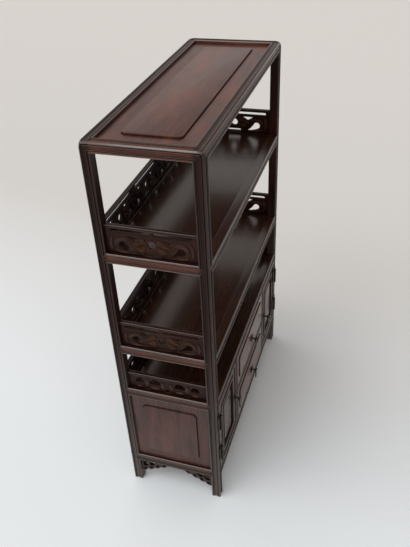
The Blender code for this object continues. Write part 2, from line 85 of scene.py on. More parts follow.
# Steps of a moulding from its edge inward: the run, the rise and the place of the finish
# The second finish is painted shade in the quirk; the third is wear and a painted highlight on the ridge
MOULDING = (
    (bead, 0, None),
    (bead_fall, -bead_drop, None),
    (quirk, -quirk_depth, SECOND),
    (quirk_bottom, 0, SECOND),
    (ridge_run, ridge_rise, None),
    (ridge, 0, THIRD),
    (ridge_run, -ridge_fall, SECOND),
    (hollow_run, -hollow_depth, None),
)
narrow_share = 0.6
arris = 0.0014
hidden_arris = 0.0004
corner_arris = 0.0020
arris_steps = 4
spare = 0.02
tip_depth = 0.004
tip_fade = 0.003
turn_radius = 0.007
turn_depth = 0.012
turn_steps = 7
turn_spacing = 1.5
joint_gap = 0.00005
hairline = 0.0001
side_share = 0.3
facing_share = 0.999
smooth_angle = math.radians(35)

# Fielded boards
field_rise = 0.0025
field_margin = 0.023
end_field_margin = 0.019
door_field_margin = 0.010
drawer_field_margin = 0.009
drawer_field_rise = 0.002
field_corner = 0.006
field_ease = 0.0009
field_quirk = 0.0010
field_quirk_depth = 0.0016
shelf_gap = 0.0002
shelf_ease = 0.0002
corner_steps = 6

# Galleries and brackets
rim_radius = 0.0005
rim_stand = 0.0011
leaf_rise = 0.0013
leaf_round = 0.0011
smooth_steps = 5
fret_thickness = 0.004
fret_rounding = 0.0008
fret_rounding_steps = 2
cap_height = 0.0040
cap_depth = 0.0060
cap_ease = 0.0010
pattern_rim = 0.0012
slot_height = 0.0043
slot_end = 0.007
slot_strut = 0.005
disc_rise = 0.0165
disc_radius = 0.0055
bar_half = 0.011
bar_hole = 0.0036
triangle_place = 0.023
triangle_half = 0.0094
triangle_drop = 0.0058
triangle_sink = 0.0018
triangle_hollow = -0.08
comma_head = Vector((0.0380, 0.0115))
comma_radius = 0.0057
comma_tail = Vector((0.0220, 0.0026))
comma_bow = 0.0026
tall_motif_length = 0.092
low_motif_length = 0.110
wide_arch_place = 0.019
wide_arch = 0.016
narrow_arch_place = 0.0425
narrow_arch = 0.013
foot_gap = 0.007
foot_gap_rise = 0.004
middle_gap_rise = 0.0055
bracket_reach = 0.046
bracket_drop = 0.029
bracket_arch = 0.0060
bracket_lobes = 4
bracket_bulge = 0.0030
bracket_eye = 0.0026
bracket_eye_lift = 0.0024
bracket_comma = 0.0034
bracket_comma_heads = (Vector((0.0068, 0.0145)), Vector((0.0185, 0.0100)))
bracket_comma_tail = Vector((0.0084, -0.0074))
bracket_rim = 0.0028
bracket_slot = 0.0030
bracket_slot_reach = 0.0115
bracket_slot_drop = 0.0048
arc_steps = 10
weld = 0.000002

# Cabinet front
door_stile = 0.018
drawer_upright = 0.010
drawer_front = 0.010
drawer_wall = 0.006
drawer_bottom = 0.004
back_boards = 3
floor_thickness = 0.008

# Hinges and drop pulls
leaf_thickness = 0.001
leaf_corner = 0.0012
leaf_ease = 0.0003
knuckle_radius = 0.002
knuckle_sides = 28
nail_radius = 0.0011
nail_rise = 0.0006
nail_inset = 0.0058
nail_spread = 0.0095
nail_sides = 16
rosette_radius = 0.0055
rosette_petals = 10
petal_corners = 6
petal_depth = 0.12
petal_power = 4
stem_radius = 0.0014
collar_radius = 0.0024
knob_radius = 0.00175
knob_sides = 20
bar_radius = 0.0008
lug_radius = 0.0018
lug_reach = 0.0036
lug_play = 0.0003
ear_drop = 0.0045
pendant_length = 0.019
pendant_width = 0.0095
pendant_thickness = 0.0022
pendant_neck = 0.55
pendant_swell = 0.7
pendant_sides = 28
unit_radius = 0.5

# Painted light from the pale floor, on the wood towards the feet
feet_light_height = 0.34
feet_light_share = 0.80

# Figure of the wood, with texture scales along the grain and across it
streak_scales = (9, 160)
streak_stops = (0.30, 0.70)
STREAKS = {"Detail": 6.0, "Roughness": 0.62, "Distortion": 0.6}
patch_scales = (8, 18)
patch_stops = (0.48, 0.72)
mottle_scales = (26, 60)
mottle_stops = (0.36, 0.60)
pore_scales = (130, 2600)
pore_stops = (0.34, 0.46)
pore_relief = 0.10
pore_depth = 0.0003
soft_detail = 3.0
fine_detail = 5.0
gloss_drop = 0.05
gloss_rise = 0.08
polish_roughness = 0.14
lining_scales = (8, 190)
lining_stops = (0.32, 0.68)
lining_relief = 0.15
lining_depth = 0.0004
lining_roughness = 0.62

# Aged metal
tarnish_scales = (420, 420)
tarnish_stops = (0.40, 0.74)
tarnish_roughness = 0.55
rubbed_roughness = 0.30
tarnish_relief = 0.12
tarnish_depth = 0.0002
metal_share = 0.85

# Floor and room
floor_size = 14
floor_heading = (1.0, -0.2, 0)
floor_near = -0.15
floor_far = 2.0
floor_turn = 0.325
# Floor colours with painted light and shade: cool and bright near the window, painted shade at the turn, warm
# far off
FLOOR_COOL = (0.92, 0.955, 0.985)
FLOOR_SHADE = (0.725, 0.70, 0.675)
FLOOR_WARM = (0.755, 0.72, 0.69)
floor_roughness = 0.9
SKY = (1.0, 0.964, 0.928, 1.0)
sky_at_front = 0.28
sky_at_back = 0.94
PALE = (1.0, 0.975, 0.95, 1.0)
pale_strength = 0.68
WINDOW_COLOUR = (0.935, 0.975, 1.0)

# The windows' names, places, strengths and spreads in degrees
WINDOWS = (
    ("window", Vector((-0.8, 0.9, 1.7)), 0.60, 85),
    ("window_pane", Vector((-0.50, 0.32, 1.15)), 0.55, 36),
)

# Camera, as the photograph was taken
camera_azimuth = math.radians(-70.03)
camera_elevation = math.radians(36.35)
camera_roll = math.radians(-3.75)
camera_place = Vector((-0.7868, -0.2611, 0.8894))
camera_lens = 41.3
camera_sensor = 36
camera_shift = (0.0181, 0.0141)

# Places taken from the solids
carcass_low, carcass_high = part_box("top_frame")
post_low, post_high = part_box("front_left_post")
post = post_high.x - post_low.x
inner_x = carcass_high.x - post
inner_front = carcass_low.y + post
inner_back = carcass_high.y - post
middle_y = (carcass_low.y + carcass_high.y) / 2
carcass_middle = Vector((0, middle_y, 0))


def outer_y(way):
    return carcass_low.y if way < 0 else carcass_high.y


def inner_y(way):
    return inner_front if way < 0 else inner_back


def top_corner(side, way):
    return Vector((side * carcass_high.x, outer_y(way), carcass_high.z))


# Handling of pieces


def only(piece):
    """Makes a piece the only one selected, and the one that is worked on."""
    bpy.ops.object.select_all(action="DESELECT")
    piece.select_set(True)
    bpy.context.view_layer.objects.active = piece
    return piece


def settle(piece):
    """Leaves a piece's object at the origin, with its place in its mesh."""
    only(piece)
    bpy.ops.object.transform_apply(location=True, rotation=True, scale=True)
    return piece


def corners(first, second):
    """The low and the high corner of the box between two points."""
    return Vector(map(min, first, second)), Vector(map(max, first, second))


def just_added(name):
    """The object that was just added, under its name."""
    piece = bpy.context.object
    piece.name = name
    return piece


def in_scene(name, data):
    """A new object in the scene for some data."""
    made = bpy.data.objects.new(name, data)
    bpy.context.scene.collection.objects.link(made)
    return made


def block(name, first, second):
    """A cube added between two corners."""
    low, high = corners(first, second)
    bpy.ops.mesh.primitive_cube_add(size=1, location=(low + high) / 2)
    piece = just_added(name)
    piece.scale = high - low
    return settle(piece)


def rod(name, centre, axis, radius, length, sides):
    bpy.ops.mesh.primitive_cylinder_add(vertices=sides, radius=radius, depth=length, location=centre)
    piece = just_added(name)
    piece.rotation_euler = Z.rotation_difference(axis).to_euler()
    return settle(piece)


def start_edit(piece, mode):
    only(piece)
    bpy.ops.object.mode_set(mode="EDIT")
    bpy.ops.mesh.select_mode(type=mode)
    bpy.ops.mesh.select_all(action="DESELECT")
    return bmesh.from_edit_mesh(piece.data)


def end_edit():
    bpy.ops.object.mode_set(mode="OBJECT")


def reshape(piece, place_of):
    """Moves each point of a piece's mesh to where a rule puts it."""
    form = start_edit(piece, "VERT")
    for vert in form.verts:
        vert.co = place_of(vert.co)
    bmesh.update_edit_mesh(piece.data)
    end_edit()


def choose_faces(piece, direction):
    """Opens a piece in edit mode with the faces selected that look in a direction."""
    form = start_edit(piece, "FACE")
    for face in form.faces:
        face.select_set(face.normal.dot(direction) > facing_share)
    bmesh.update_edit_mesh(piece.data)


def ring_finish(piece, place):
    """Gives the faces round the selected ones another of the piece's finishes."""
    form = bmesh.from_edit_mesh(piece.data)
    inside = [face for face in form.faces if face.select]
    for edge in {edge for face in inside for edge in face.edges}:
        for face in edge.link_faces:
            if not face.select:
                face.material_index = place
    bmesh.update_edit_mesh(piece.data)


def mark(piece, place, test=None):
    """Gives the faces of a piece that pass a test, or all of them, another of its finishes."""
    for face in piece.data.polygons:
        if test is None or test(face):
            face.material_index = place


def mark_all(piece, place):
    """Marks all of a piece, so that the mark lasts when it is joined or carved with."""
    mark(piece, place)
    give_slots(piece)


def round_edges(piece, test, width, steps=arris_steps, place=None):
    """Rounds the edges that pass a test of their two ends, and may give the round another finish."""
    form = start_edit(piece, "EDGE")
    for edge in form.edges:
        edge.select_set(test(*(vert.co for vert in edge.verts)))
    bmesh.update_edit_mesh(piece.data)
    bpy.ops.mesh.bevel(offset=width, segments=steps, affect="EDGES", clamp_overlap=True)
    if place is not None:
        form = bmesh.from_edit_mesh(piece.data)
        for face in form.faces:
            if face.select:
                face.material_index = place
        bmesh.update_edit_mesh(piece.data)
    end_edit()
    return piece


def runs_along(axis, low, high):
    """A test for the long edges of a bar that lies between two corners."""
    across = [index for index in range(3) if not axis[index]]

    def test(start, stop):
        return all(
            abs(start[i] - stop[i]) < weld and min(abs(start[i] - low[i]), abs(start[i] - high[i])) < weld
            for i in across
        )

    return test


def slice_off(piece, point, normal):
    """Cuts a piece along a plane, drops the side that the normal points to and closes the cut."""
    start_edit(piece, "FACE")
    bpy.ops.mesh.select_all(action="SELECT")
    bpy.ops.mesh.bisect(plane_co=point, plane_no=normal, use_fill=True, clear_outer=True, threshold=weld)
    end_edit()
    return piece


def carve(piece, *cutters):
    """Takes the shapes of the cutters out of a piece, and removes them."""
    for cutter in cutters:
        step = piece.modifiers.new("carve", "BOOLEAN")
        step.operation = "DIFFERENCE"
        step.solver = "EXACT"
        step.object = cutter
        only(piece)
        bpy.ops.object.modifier_apply(modifier=step.name)
        bpy.data.objects.remove(cutter)
    return piece


def unite(piece, *others):
    only(piece)
    for other in others:
        other.select_set(True)
    bpy.ops.object.join()
    return piece


def dress(piece, node_name, slot, *finishes):
    """Gives a piece its finishes, and lets it stand for a solid and ride on that solid's body."""
    only(piece)
    bpy.ops.object.shade_smooth_by_angle(angle=smooth_angle)
    places = [face.material_index for face in piece.data.polygons]
    piece.data.materials.clear()
    for finish in finishes:
        piece.data.materials.append(finish)
    for face, place in zip(piece.data.polygons, places):
        face.material_index = min(place, len(finishes) - 1)
    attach(piece, BODY_OF[node_name])
    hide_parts(node_name)
    return piece


def twin(piece, name, shift=(0, 0, 0), turn=0, axis=Z, about=(0, 0, 0)):
    """A copy with its own mesh, turned about a line through a point and then moved."""
    only(piece)
    bpy.ops.object.duplicate()
    copy = bpy.context.object
    copy.name = name
    centre = Matrix.Translation(about)
    turned_about = centre @ Matrix.Rotation(turn, 4, axis) @ centre.inverted()
    copy.matrix_world = Matrix.Translation(shift) @ turned_about
    return settle(copy)


def opposite(piece, name):
    """A copy for the other side of the carcass, turned half round its middle."""
    return twin(piece, name, turn=HALF_TURN, about=carcass_middle)


def set_out(pattern, node_names, ending, slot, *finishes):
    """Copies a piece that was made for the first of some solids to each of them, and dresses the copies."""
    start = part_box(node_names[0])[0]
    for node_name in node_names:
        piece = twin(pattern, node_name + ending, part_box(node_name)[0] - start)
        dress(piece, node_name, slot, *finishes)
    bpy.data.objects.remove(pattern)


# Finishes


def feed(tree, made, inputs):
    """Puts values, or other nodes' outputs, on the inputs of a node."""
    for name, value in inputs.items():
        if isinstance(value, bpy.types.NodeSocket):
            tree.links.new(value, made.inputs[name])
        else:
            made.inputs[name].default_value = value
    return made


def node(tree, kind, inputs=None, **settings):
    """A shader node with its settings and its inputs."""
    made = tree.nodes.new("ShaderNode" + kind)
    for name, value in settings.items():
        setattr(made, name, value)
    return feed(tree, made, inputs or {})


def ramp(tree, factor, stops, colours):
    """A colour ramp with a colour at each of its stops."""
    made = node(tree, "ValToRGB", {"Fac": factor})
    elements = made.color_ramp.elements
    while len(elements) < len(stops):
        elements.new(0.5)
    for element, place, colour in zip(elements, stops, colours):
        element.position = place
        element.color = (*colour, 1.0)
    return made.outputs["Color"]


def blend(tree, factor, first, second, kind="MIX"):
    inputs = {MIX_FACTOR: factor}
    for socket, value in ((MIX_FIRST, first), (MIX_SECOND, second)):
        inputs[socket] = value if isinstance(value, bpy.types.NodeSocket) else (*value, 1.0)
    return node(tree, "Mix", inputs, data_type="RGBA", blend_type=kind).outputs[MIX_RESULT]


def mapped(tree, value, limits, **kind):
    """A value carried from one range to another."""
    return node(tree, "MapRange", {"Value": value, **limits}, **kind).outputs[0]


def blank(name):
    """A new finish, its nodes, its shader, and the place on a piece that its patterns follow."""
    finish = bpy.data.materials.new(name)
    finish.use_nodes = True
    tree = finish.node_tree
    return finish, tree, tree.nodes["Principled BSDF"], node(tree, "TexCoord").outputs["Object"]


def noise(tree, place, grain, scales, **kind):
    """Noise from 0 to 1, with one scale along the grain and one across it."""
    along, across = scales
    stretch = [along if grain[index] else across for index in range(3)]
    spread = node(tree, "Mapping", {"Vector": place, "Scale": stretch}).outputs[0]
    return node(tree, "TexNoise", {"Vector": spread, "Scale": 1.0, **kind}).outputs["Fac"]


def relief(tree, height, strength, distance):
    return node(tree, "Bump", {"Height": height, "Strength": strength, "Distance": distance}).outputs[0]


def part_along(tree, place, axis):
    return node(tree, "SeparateXYZ", {"Vector": place}).outputs[axis]


def reckon(tree, operation, *values):
    return node(tree, "Math", dict(enumerate(values)), operation=operation).outputs[0]


def darker_tips(tree, place, figure):
    """Darkens the ends of a cross rail, where its pointed shoulders lie in the posts."""
    offset = reckon(tree, "SUBTRACT", part_along(tree, place, "Y"), middle_y)
    away = reckon(tree, "ABSOLUTE", offset)
    edge = inner_back - middle_y
    limits = {"From Min": edge - tip_fade, "From Max": edge + tip_fade}
    share = mapped(tree, away, limits, interpolation_type="SMOOTHSTEP")
    return blend(tree, share, figure, POST_TONES[1])


def paint_floor_light_on_feet(tree, place, figure, grey):
    """Greys the wood towards the feet: painted light from the pale floor."""
    limits = {"From Max": feet_light_height, "To Min": feet_light_share, "To Max": 0.0}
    share = mapped(tree, part_along(tree, place, "Z"), limits)
    return blend(tree, share, figure, grey)


# Colours of the woods, each in its dark streaks and between them
LONG_TONES = ((0.012, 0.0040, 0.0028), (0.036, 0.0120, 0.0085))
POST_TONES = ((0.011, 0.0036, 0.0025), (0.030, 0.0095, 0.0066))
TOP_TONES = ((0.026, 0.0090, 0.0062), (0.066, 0.0240, 0.0165))
CROSS_TONES = ((0.068, 0.0230, 0.0155), (0.190, 0.0690, 0.0460))
BOARD_TONES = ((0.064, 0.0180, 0.0122), (0.130, 0.0395, 0.0272))
PANEL_TONES = ((0.050, 0.0203, 0.0174), (0.103, 0.0445, 0.0388))
FRONT_TONES = ((0.044, 0.020, 0.017), (0.088, 0.043, 0.037))
# The drawers' tones are much lighter than the doors': painted light
DRAWER_LIT_TONES = ((0.104, 0.051, 0.043), (0.196, 0.101, 0.086))
SHELF_TONES = ((0.021, 0.0080, 0.0045), (0.056, 0.0215, 0.0122))
# Near-black tones for the back galleries: painted shade, for the shade they stand in
FRET_SHADE_TONES = ((0.006, 0.0022, 0.0015), (0.018, 0.0066, 0.0046))
SCROLL_TONES = ((0.024, 0.0088, 0.0062), (0.072, 0.0270, 0.0190))
LEAF_TONES = ((0.011, 0.0042, 0.0022), (0.086, 0.0320, 0.0130))
# Lighter tones for rubbed beads, ridges and arrises: wear, and a painted highlight
WEAR_AND_HIGHLIGHT_TONES = ((0.048, 0.020, 0.015), (0.115, 0.052, 0.039))
POST_WEAR_AND_HIGHLIGHT_TONES = ((0.018, 0.0075, 0.0052), (0.046, 0.0190, 0.0135))
CAP_WEAR_AND_HIGHLIGHT_TONES = ((0.024, 0.0092, 0.0066), (0.050, 0.0195, 0.0145))
# Dark tones for quirks, grooves and the sides of fields: painted shade
QUIRK_SHADE_TONES = ((0.003, 0.0015, 0.001), (0.006, 0.003, 0.002))
SOFT_QUIRK_SHADE_TONES = ((0.021, 0.0093, 0.0075), (0.039, 0.0180, 0.0147))
LINING_TONES = ((0.10, 0.052, 0.028), (0.19, 0.105, 0.055))

# Other colours
WARM = (0.080, 0.0220, 0.0100)
BOARD_WARM = (0.186, 0.0530, 0.0250)
PANEL_WARM = (0.138, 0.0465, 0.0270)
FRONT_WARM = (0.105, 0.044, 0.032)
LEAF_WARM = (0.120, 0.0440, 0.0165)
# Greys that the wood turns to towards the feet: painted light from the pale floor
FEET_LIGHT_GREY = (0.112, 0.094, 0.084)
RAIL_FEET_LIGHT_GREY = (0.060, 0.045, 0.039)
WARM_SHEEN = (1.0, 0.93, 0.87, 1.0)
PORE = (0.45, 0.42, 0.40)
MOTTLE = (0.74, 0.72, 0.72)
BLACK = (0, 0, 0)
WHITE = (1, 1, 1)
METAL_TONES = ((0.016, 0.014, 0.010), (0.118, 0.082, 0.044))


def rosewood(
    name, grain, tones, warmth, gloss, sheen=0.26, polish=0.0, warm=WARM, tips=False, feet_light_grey=None
):
    """Polished dark wood with streaks along the grain, warmer patches, pores and a soft polish."""
    finish, tree, shader, place = blank("rosewood_" + name)
    streaks = noise(tree, place, grain, streak_scales, **STREAKS)
    patches, mottle, pores = (
        noise(tree, place, grain, scales, Detail=soft_detail)
        for scales in (patch_scales, mottle_scales, pore_scales)
    )
    glow = ramp(tree, patches, patch_stops, (BLACK, (warmth, warmth, warmth)))
    figure = blend(tree, glow, ramp(tree, streaks, streak_stops, tones), warm)
    for pattern, stops, shade in ((pores, pore_stops, PORE), (mottle, mottle_stops, MOTTLE)):
        figure = blend(tree, 1.0, figure, ramp(tree, pattern, stops, (shade, WHITE)), "MULTIPLY")
    if tips:
        figure = darker_tips(tree, place, figure)
    # Painted light from the pale floor, greyer towards the feet
    if feet_light_grey:
        figure = paint_floor_light_on_feet(tree, place, figure, feet_light_grey)
    looks = {
        "Base Color": figure,
        "Roughness": mapped(tree, patches, {"To Min": gloss - gloss_drop, "To Max": gloss + gloss_rise}),
        "Normal": relief(tree, pores, pore_relief, pore_depth),
        "Specular IOR Level": sheen,
        "Specular Tint": WARM_SHEEN,
        "Coat Weight": polish,
        "Coat Roughness": polish_roughness,
    }
    feed(tree, shader, looks)
    return finish


def plain_wood(name, grain, tones):
    """Unpolished wood inside the drawers."""
    finish, tree, shader, place = blank(name)
    streaks = noise(tree, place, grain, lining_scales, Detail=fine_detail)
    looks = {
        "Base Color": ramp(tree, streaks, lining_stops, tones),
        "Roughness": lining_roughness,
        "Normal": relief(tree, streaks, lining_relief, lining_depth),
    }
    feed(tree, shader, looks)
    return finish


def old_brass(name):
    """Dark aged metal, rubbed brighter in places."""
    finish, tree, shader, place = blank(name)
    tarnish = noise(tree, place, X, tarnish_scales, Detail=fine_detail)
    looks = {
        "Base Color": ramp(tree, tarnish, tarnish_stops, METAL_TONES),
        "Roughness": mapped(tree, tarnish, {"To Min": tarnish_roughness, "To Max": rubbed_roughness}),
        "Normal": relief(tree, tarnish, tarnish_relief, tarnish_depth),
        "Metallic": metal_share,
    }
    feed(tree, shader, looks)
    return finish


POST_WOOD = rosewood("upright", Z, POST_TONES, warmth=0.30, gloss=0.30, sheen=0.15, feet_light_grey=FEET_LIGHT_GREY)
BACK_WOOD = rosewood("back", Z, POST_TONES, warmth=0.30, gloss=0.34, sheen=0.15)
LONG_WOOD = rosewood("long", X, LONG_TONES, warmth=0.35, gloss=0.30)
TOP_WOOD = rosewood("top", X, TOP_TONES, warmth=0.35, gloss=0.30, sheen=0.20)
CROSS_WOOD = rosewood(
    "cross", Y, CROSS_TONES, warmth=0.4, gloss=0.30, sheen=0.15, tips=True, feet_light_grey=RAIL_FEET_LIGHT_GREY
)
BOARD_WOOD = rosewood(
    "board", X, BOARD_TONES, warmth=0.9, gloss=0.30, sheen=0.24, polish=0.12, warm=BOARD_WARM
)
SHELF_WOOD = rosewood("shelf", X, SHELF_TONES, warmth=0.30, gloss=0.23, sheen=0.56, polish=0.15)
END_WOOD = rosewood("end_board", Z, PANEL_TONES, warmth=0.6, gloss=0.30, sheen=0.36, warm=PANEL_WARM)
FRONT_WOOD = rosewood("front", Z, FRONT_TONES, warmth=0.5, gloss=0.26, sheen=0.42, warm=FRONT_WARM)
# Drawer fronts lighter than the doors: painted light
DRAWER_PAINTED_LIGHT_WOOD = rosewood("drawer", X, DRAWER_LIT_TONES, warmth=0.4, gloss=0.26, sheen=0.50, warm=FRONT_WARM)
# The back galleries' fret is made near black: painted shade
FRET_LONG_PAINTED_SHADE = rosewood("fret_long_painted_shade", X, FRET_SHADE_TONES, warmth=0.2, gloss=0.42, sheen=0.14)
FRET_CROSS = rosewood("fret_cross", Y, LONG_TONES, warmth=0.3, gloss=0.40, sheen=0.14)
BRACKET_WOOD = rosewood(
    "bracket", Y, POST_TONES, warmth=0.3, gloss=0.40, sheen=0.14, feet_light_grey=RAIL_FEET_LIGHT_GREY
)
LOBE_WOOD = rosewood("carved_leaf", X, LEAF_TONES, warmth=0.6, gloss=0.36, sheen=0.12, warm=LEAF_WARM)
SCROLL_WOOD = rosewood("carved_scroll", Y, SCROLL_TONES, warmth=0.3, gloss=0.34, sheen=0.2)
# Rubbed finishes for beads, ridges and arrises: wear, and in most a lighter colour that is a painted
# highlight
WEAR_AND_HIGHLIGHT_WOOD = rosewood("bead_wear_and_highlight", X, WEAR_AND_HIGHLIGHT_TONES, warmth=0.2, gloss=0.19, sheen=0.9)
CAP_WEAR_AND_HIGHLIGHT = rosewood("cap_wear_and_highlight", X, CAP_WEAR_AND_HIGHLIGHT_TONES, warmth=0.2, gloss=0.22, sheen=0.8)
CROSS_WEAR_AND_HIGHLIGHT = rosewood(
    "cross_wear_and_highlight",
    Y,
    WEAR_AND_HIGHLIGHT_TONES,
    warmth=0.2,
    gloss=0.19,
    sheen=0.9,
    polish=0.5,
    tips=True,
    feet_light_grey=RAIL_FEET_LIGHT_GREY,
)
POST_WEAR_AND_HIGHLIGHT = rosewood(
    "post_wear_and_highlight", Z, POST_WEAR_AND_HIGHLIGHT_TONES, warmth=0.2, gloss=0.24, sheen=0.35, feet_light_grey=FEET_LIGHT_GREY
)
# Painted shade in quirks and grooves, on the sides of fields and on the walls of holes
QUIRK_PAINTED_SHADE = rosewood("quirk", X, QUIRK_SHADE_TONES, warmth=0.1, gloss=0.6, warm=LONG_TONES[0])
SOFT_QUIRK_PAINTED_SHADE = rosewood("soft_quirk_painted_shade", X, SOFT_QUIRK_SHADE_TONES, warmth=0.1, gloss=0.5, warm=LONG_TONES[1])
LINING = plain_wood("lining_wood", Y, LINING_TONES)
BRASS = old_brass("aged_brass_dark")


# Moulded posts and rails


def mould(piece, direction, share=1):
    """A bead along each edge of a face, then a quirk with painted shade in it, a fine ridge with wear and a
    painted highlight, and a hollow between.
    """
    choose_faces(piece, direction)
    for run, rise, place in MOULDING:
        bpy.ops.mesh.inset(thickness=share * run, depth=share * rise)
        if place:
            ring_finish(piece, place)
    end_edit()


def moulded_bar(name, first, second, axis, faces, share=1, shown_arris=arris):
    """A bar, longer than it will be, moulded on the faces that show and with its long edges rounded."""
    low, high = corners(first, second)
    low -= axis * spare
    high += axis * spare
    piece = block(name, low, high)
    for direction in faces:
        mould(piece, direction, share)
    long_edge = runs_along(axis, low, high)
    middle = (low + high) / 2

    def outermost(start, stop):
        return long_edge(start, stop) and all((start - middle).dot(face) > 0 for face in faces)

    def shown(start, stop):
        return long_edge(start, stop) and any((start - middle).dot(face) > 0 for face in faces)

    # The arrises that show take the third finish: wear, and a painted highlight
    if len(faces) > 1:
        round_edges(piece, outermost, corner_arris, arris_steps, THIRD)
    round_edges(piece, shown, share * shown_arris, arris_steps, THIRD)
    return round_edges(piece, long_edge, hidden_arris)


def tip_planes(side, way, on_end, low, high, slack):
    """The two planes of a pointed shoulder, and the point and directions that it is measured from."""
    if on_end:
        base = Vector((side * carcass_high.x, inner_y(way), 0))
        out, run = X * side, Y * way
    else:
        base = Vector((side * inner_x, outer_y(way), 0))
        out, run = Y * way, X * side
    planes = ((base + Z * (high + slack), run + Z), (base + Z * (low - slack), run - Z))
    return base, out, run, planes


def notch(side, way, on_end, low, high):
    """A cutter that lets a rail's pointed shoulder into the face of a post."""
    base, out, run, planes = tip_planes(side, way, on_end, low, high, joint_gap)
    reach = (high - low) / 2 + post / 2
    first = base + out * spare + Z * (low - spare) - run * hairline
    cutter = block("notch", first, base - out * (tip_depth + joint_gap) + run * reach + Z * (high + spare))
    for point, normal in planes:
        slice_off(cutter, point, normal)
    return cutter


def rail_levels():
    """Heights of the undersides and tops of all the rails, from the top down."""
    for node_name in (*(f"{level}_front_rail" for level in LEVELS), "cabinet_floor"):
        low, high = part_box(node_name)
        yield low.z, high.z


def turn_rows(piece, corner, side, way, axis):
    """Cuts rows across a bar beside its mitres, so that the mouldings can turn in a round."""
    outward = (X * side, Y * way, Z)
    along = next(direction for direction in outward if direction.dot(axis) != 0)
    start_edit(piece, "VERT")
    for across in outward:
        if across.dot(axis) == 0:
            for step in range(turn_steps):
                place = corner - along * turn_radius * ((step + 1) / turn_steps) ** turn_spacing
                bpy.ops.mesh.select_all(action="SELECT")
                bpy.ops.mesh.bisect(plane_co=place, plane_no=across - along, threshold=weld)
    end_edit()


def turned(first, second, depth):
    """How far two distances from a corner's faces grow where the corner turns in a round."""
    near = min(first, second)
    away = abs(first - second)
    radius = turn_radius * (1 - max(0, near) / post)
    if away >= radius or depth >= turn_depth:
        return 0.0, 0.0
    angle = EIGHTH_TURN * (1 - away / radius)
    share = 1 - depth / turn_depth
    grown = near + radius * (1 - math.cos(angle)), near + radius * (1 - math.sin(angle))
    if first > second:
        grown = grown[::-1]
    return share * (grown[0] - first), share * (grown[1] - second)


def round_corner(piece, side, way, axis):
    """Turns the mouldings and the outline of a bar in a round at one top corner of the carcass."""
    corner = top_corner(side, way)
    outward = (side, way, 1)

    def rounded(place):
        inside = [(corner[i] - place[i]) * outward[i] for i in range(3)]
        pulls = [0.0, 0.0, 0.0]
        if max(inside) <= post + turn_radius:
            for depth, first, second in ((0, 1, 2), (1, 0, 2), (2, 0, 1)):
                grown = turned(inside[first], inside[second], max(0, inside[depth]))
                for index, pull in zip((first, second), grown):
                    pulls[index] = max(pulls[index], pull)
        return Vector(place[i] - outward[i] * pulls[i] for i in range(3))

    turn_rows(piece, corner, side, way, axis)
    reshape(piece, rounded)


def corner_post(side, way):
    """A post at one corner, with seats for the shoulders of all the rails that meet it."""
    corner = top_corner(side, way)
    foot = Vector((corner.x - side * post, corner.y - way * post, 0))
    piece = moulded_bar("post", corner, foot, Z, (X * side, Y * way))
    slice_off(piece, corner, Z - X * side)
    slice_off(piece, corner, Z - Y * way)
    slice_off(piece, foot, -Z)
    for low, high in rail_levels():
        carve(piece, notch(side, way, True, low, high), notch(side, way, False, low, high))
    round_corner(piece, side, way, Z)
    return piece


def posts():
    """Four posts, each a copy of the first that is turned a quarter further."""
    pattern = corner_post(SIDES["left"], WAYS["front"])
    middle = (post_low + post_high) / 2
    for quarters, place in enumerate(POSTS):
        node_name = place + "_post"
        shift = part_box(node_name)[0] - post_low
        piece = twin(pattern, place + "_moulded_post", shift, quarters * QUARTER_TURN, about=middle)
        dress(piece, node_name, "rosewood", POST_WOOD, QUIRK_PAINTED_SHADE, POST_WEAR_AND_HIGHLIGHT)
    bpy.data.objects.remove(pattern)


def bar_ends(on_end):
    """The axis and face of a front bar or, on the end, a left one, and its ends' sides, ways and headings."""
    left, front = SIDES["left"], WAYS["front"]
    if on_end:
        return Y, X * left, [(left, way, Y * way) for way in WAYS.values()]
    return X, Y * front, [(side, front, X * side) for side in SIDES.values()]


def top_member(name, on_end):
    """The front member of the top frame or, on the end, the left one, mitred and rounded at both ends."""
    axis, out, ends = bar_ends(on_end)
    width = (-inner_x, carcass_high.y) if on_end else (carcass_high.x, inner_front)
    piece = moulded_bar(name, carcass_low, (*width, carcass_high.z), axis, (out, Z))
    for side, way, along in ends:
        for face in (out, Z):
            slice_off(piece, top_corner(side, way), along - face)
    for side, way, _ in ends:
        round_corner(piece, side, way, axis)
    return piece


def top_members():
    """The front and left members of the top frame, and their copies at the back and on the right."""
    for places, on_end, finishes in (
        (WAYS, False, (TOP_WOOD, QUIRK_PAINTED_SHADE, WEAR_AND_HIGHLIGHT_WOOD)),
        (SIDES, True, (CROSS_WOOD, QUIRK_PAINTED_SHADE, CROSS_WEAR_AND_HIGHLIGHT)),
    ):
        first_name, other_name = (f"top_{place}_member" for place in places)
        first = top_member(first_name, on_end)
        for piece in (opposite(first, other_name), first):
            dress(piece, "top_frame", "rosewood", *finishes)


def shouldered(piece, side, way, on_end, low, high):
    """Points one end of a rail, and thins the point to what lies on the post's face."""
    base, out, run, planes = tip_planes(side, way, on_end, low, high, 0)
    for point, normal in planes:
        slice_off(piece, point, normal)
    behind = base - out * tip_depth - run * hairline + Z * (low - spare)
    carve(piece, block("behind_tip", behind, base - out * 2 * post + run * 2 * post + Z * (high + spare)))


def mark_inside(piece, out):
    """Marks the level top and the inner face of a rail for a finish of their own."""

    def inside(face):
        outward = face.normal.dot(out)
        return outward < -side_share or (outward < side_share and face.normal.z > side_share)

    mark(piece, FOURTH, inside)


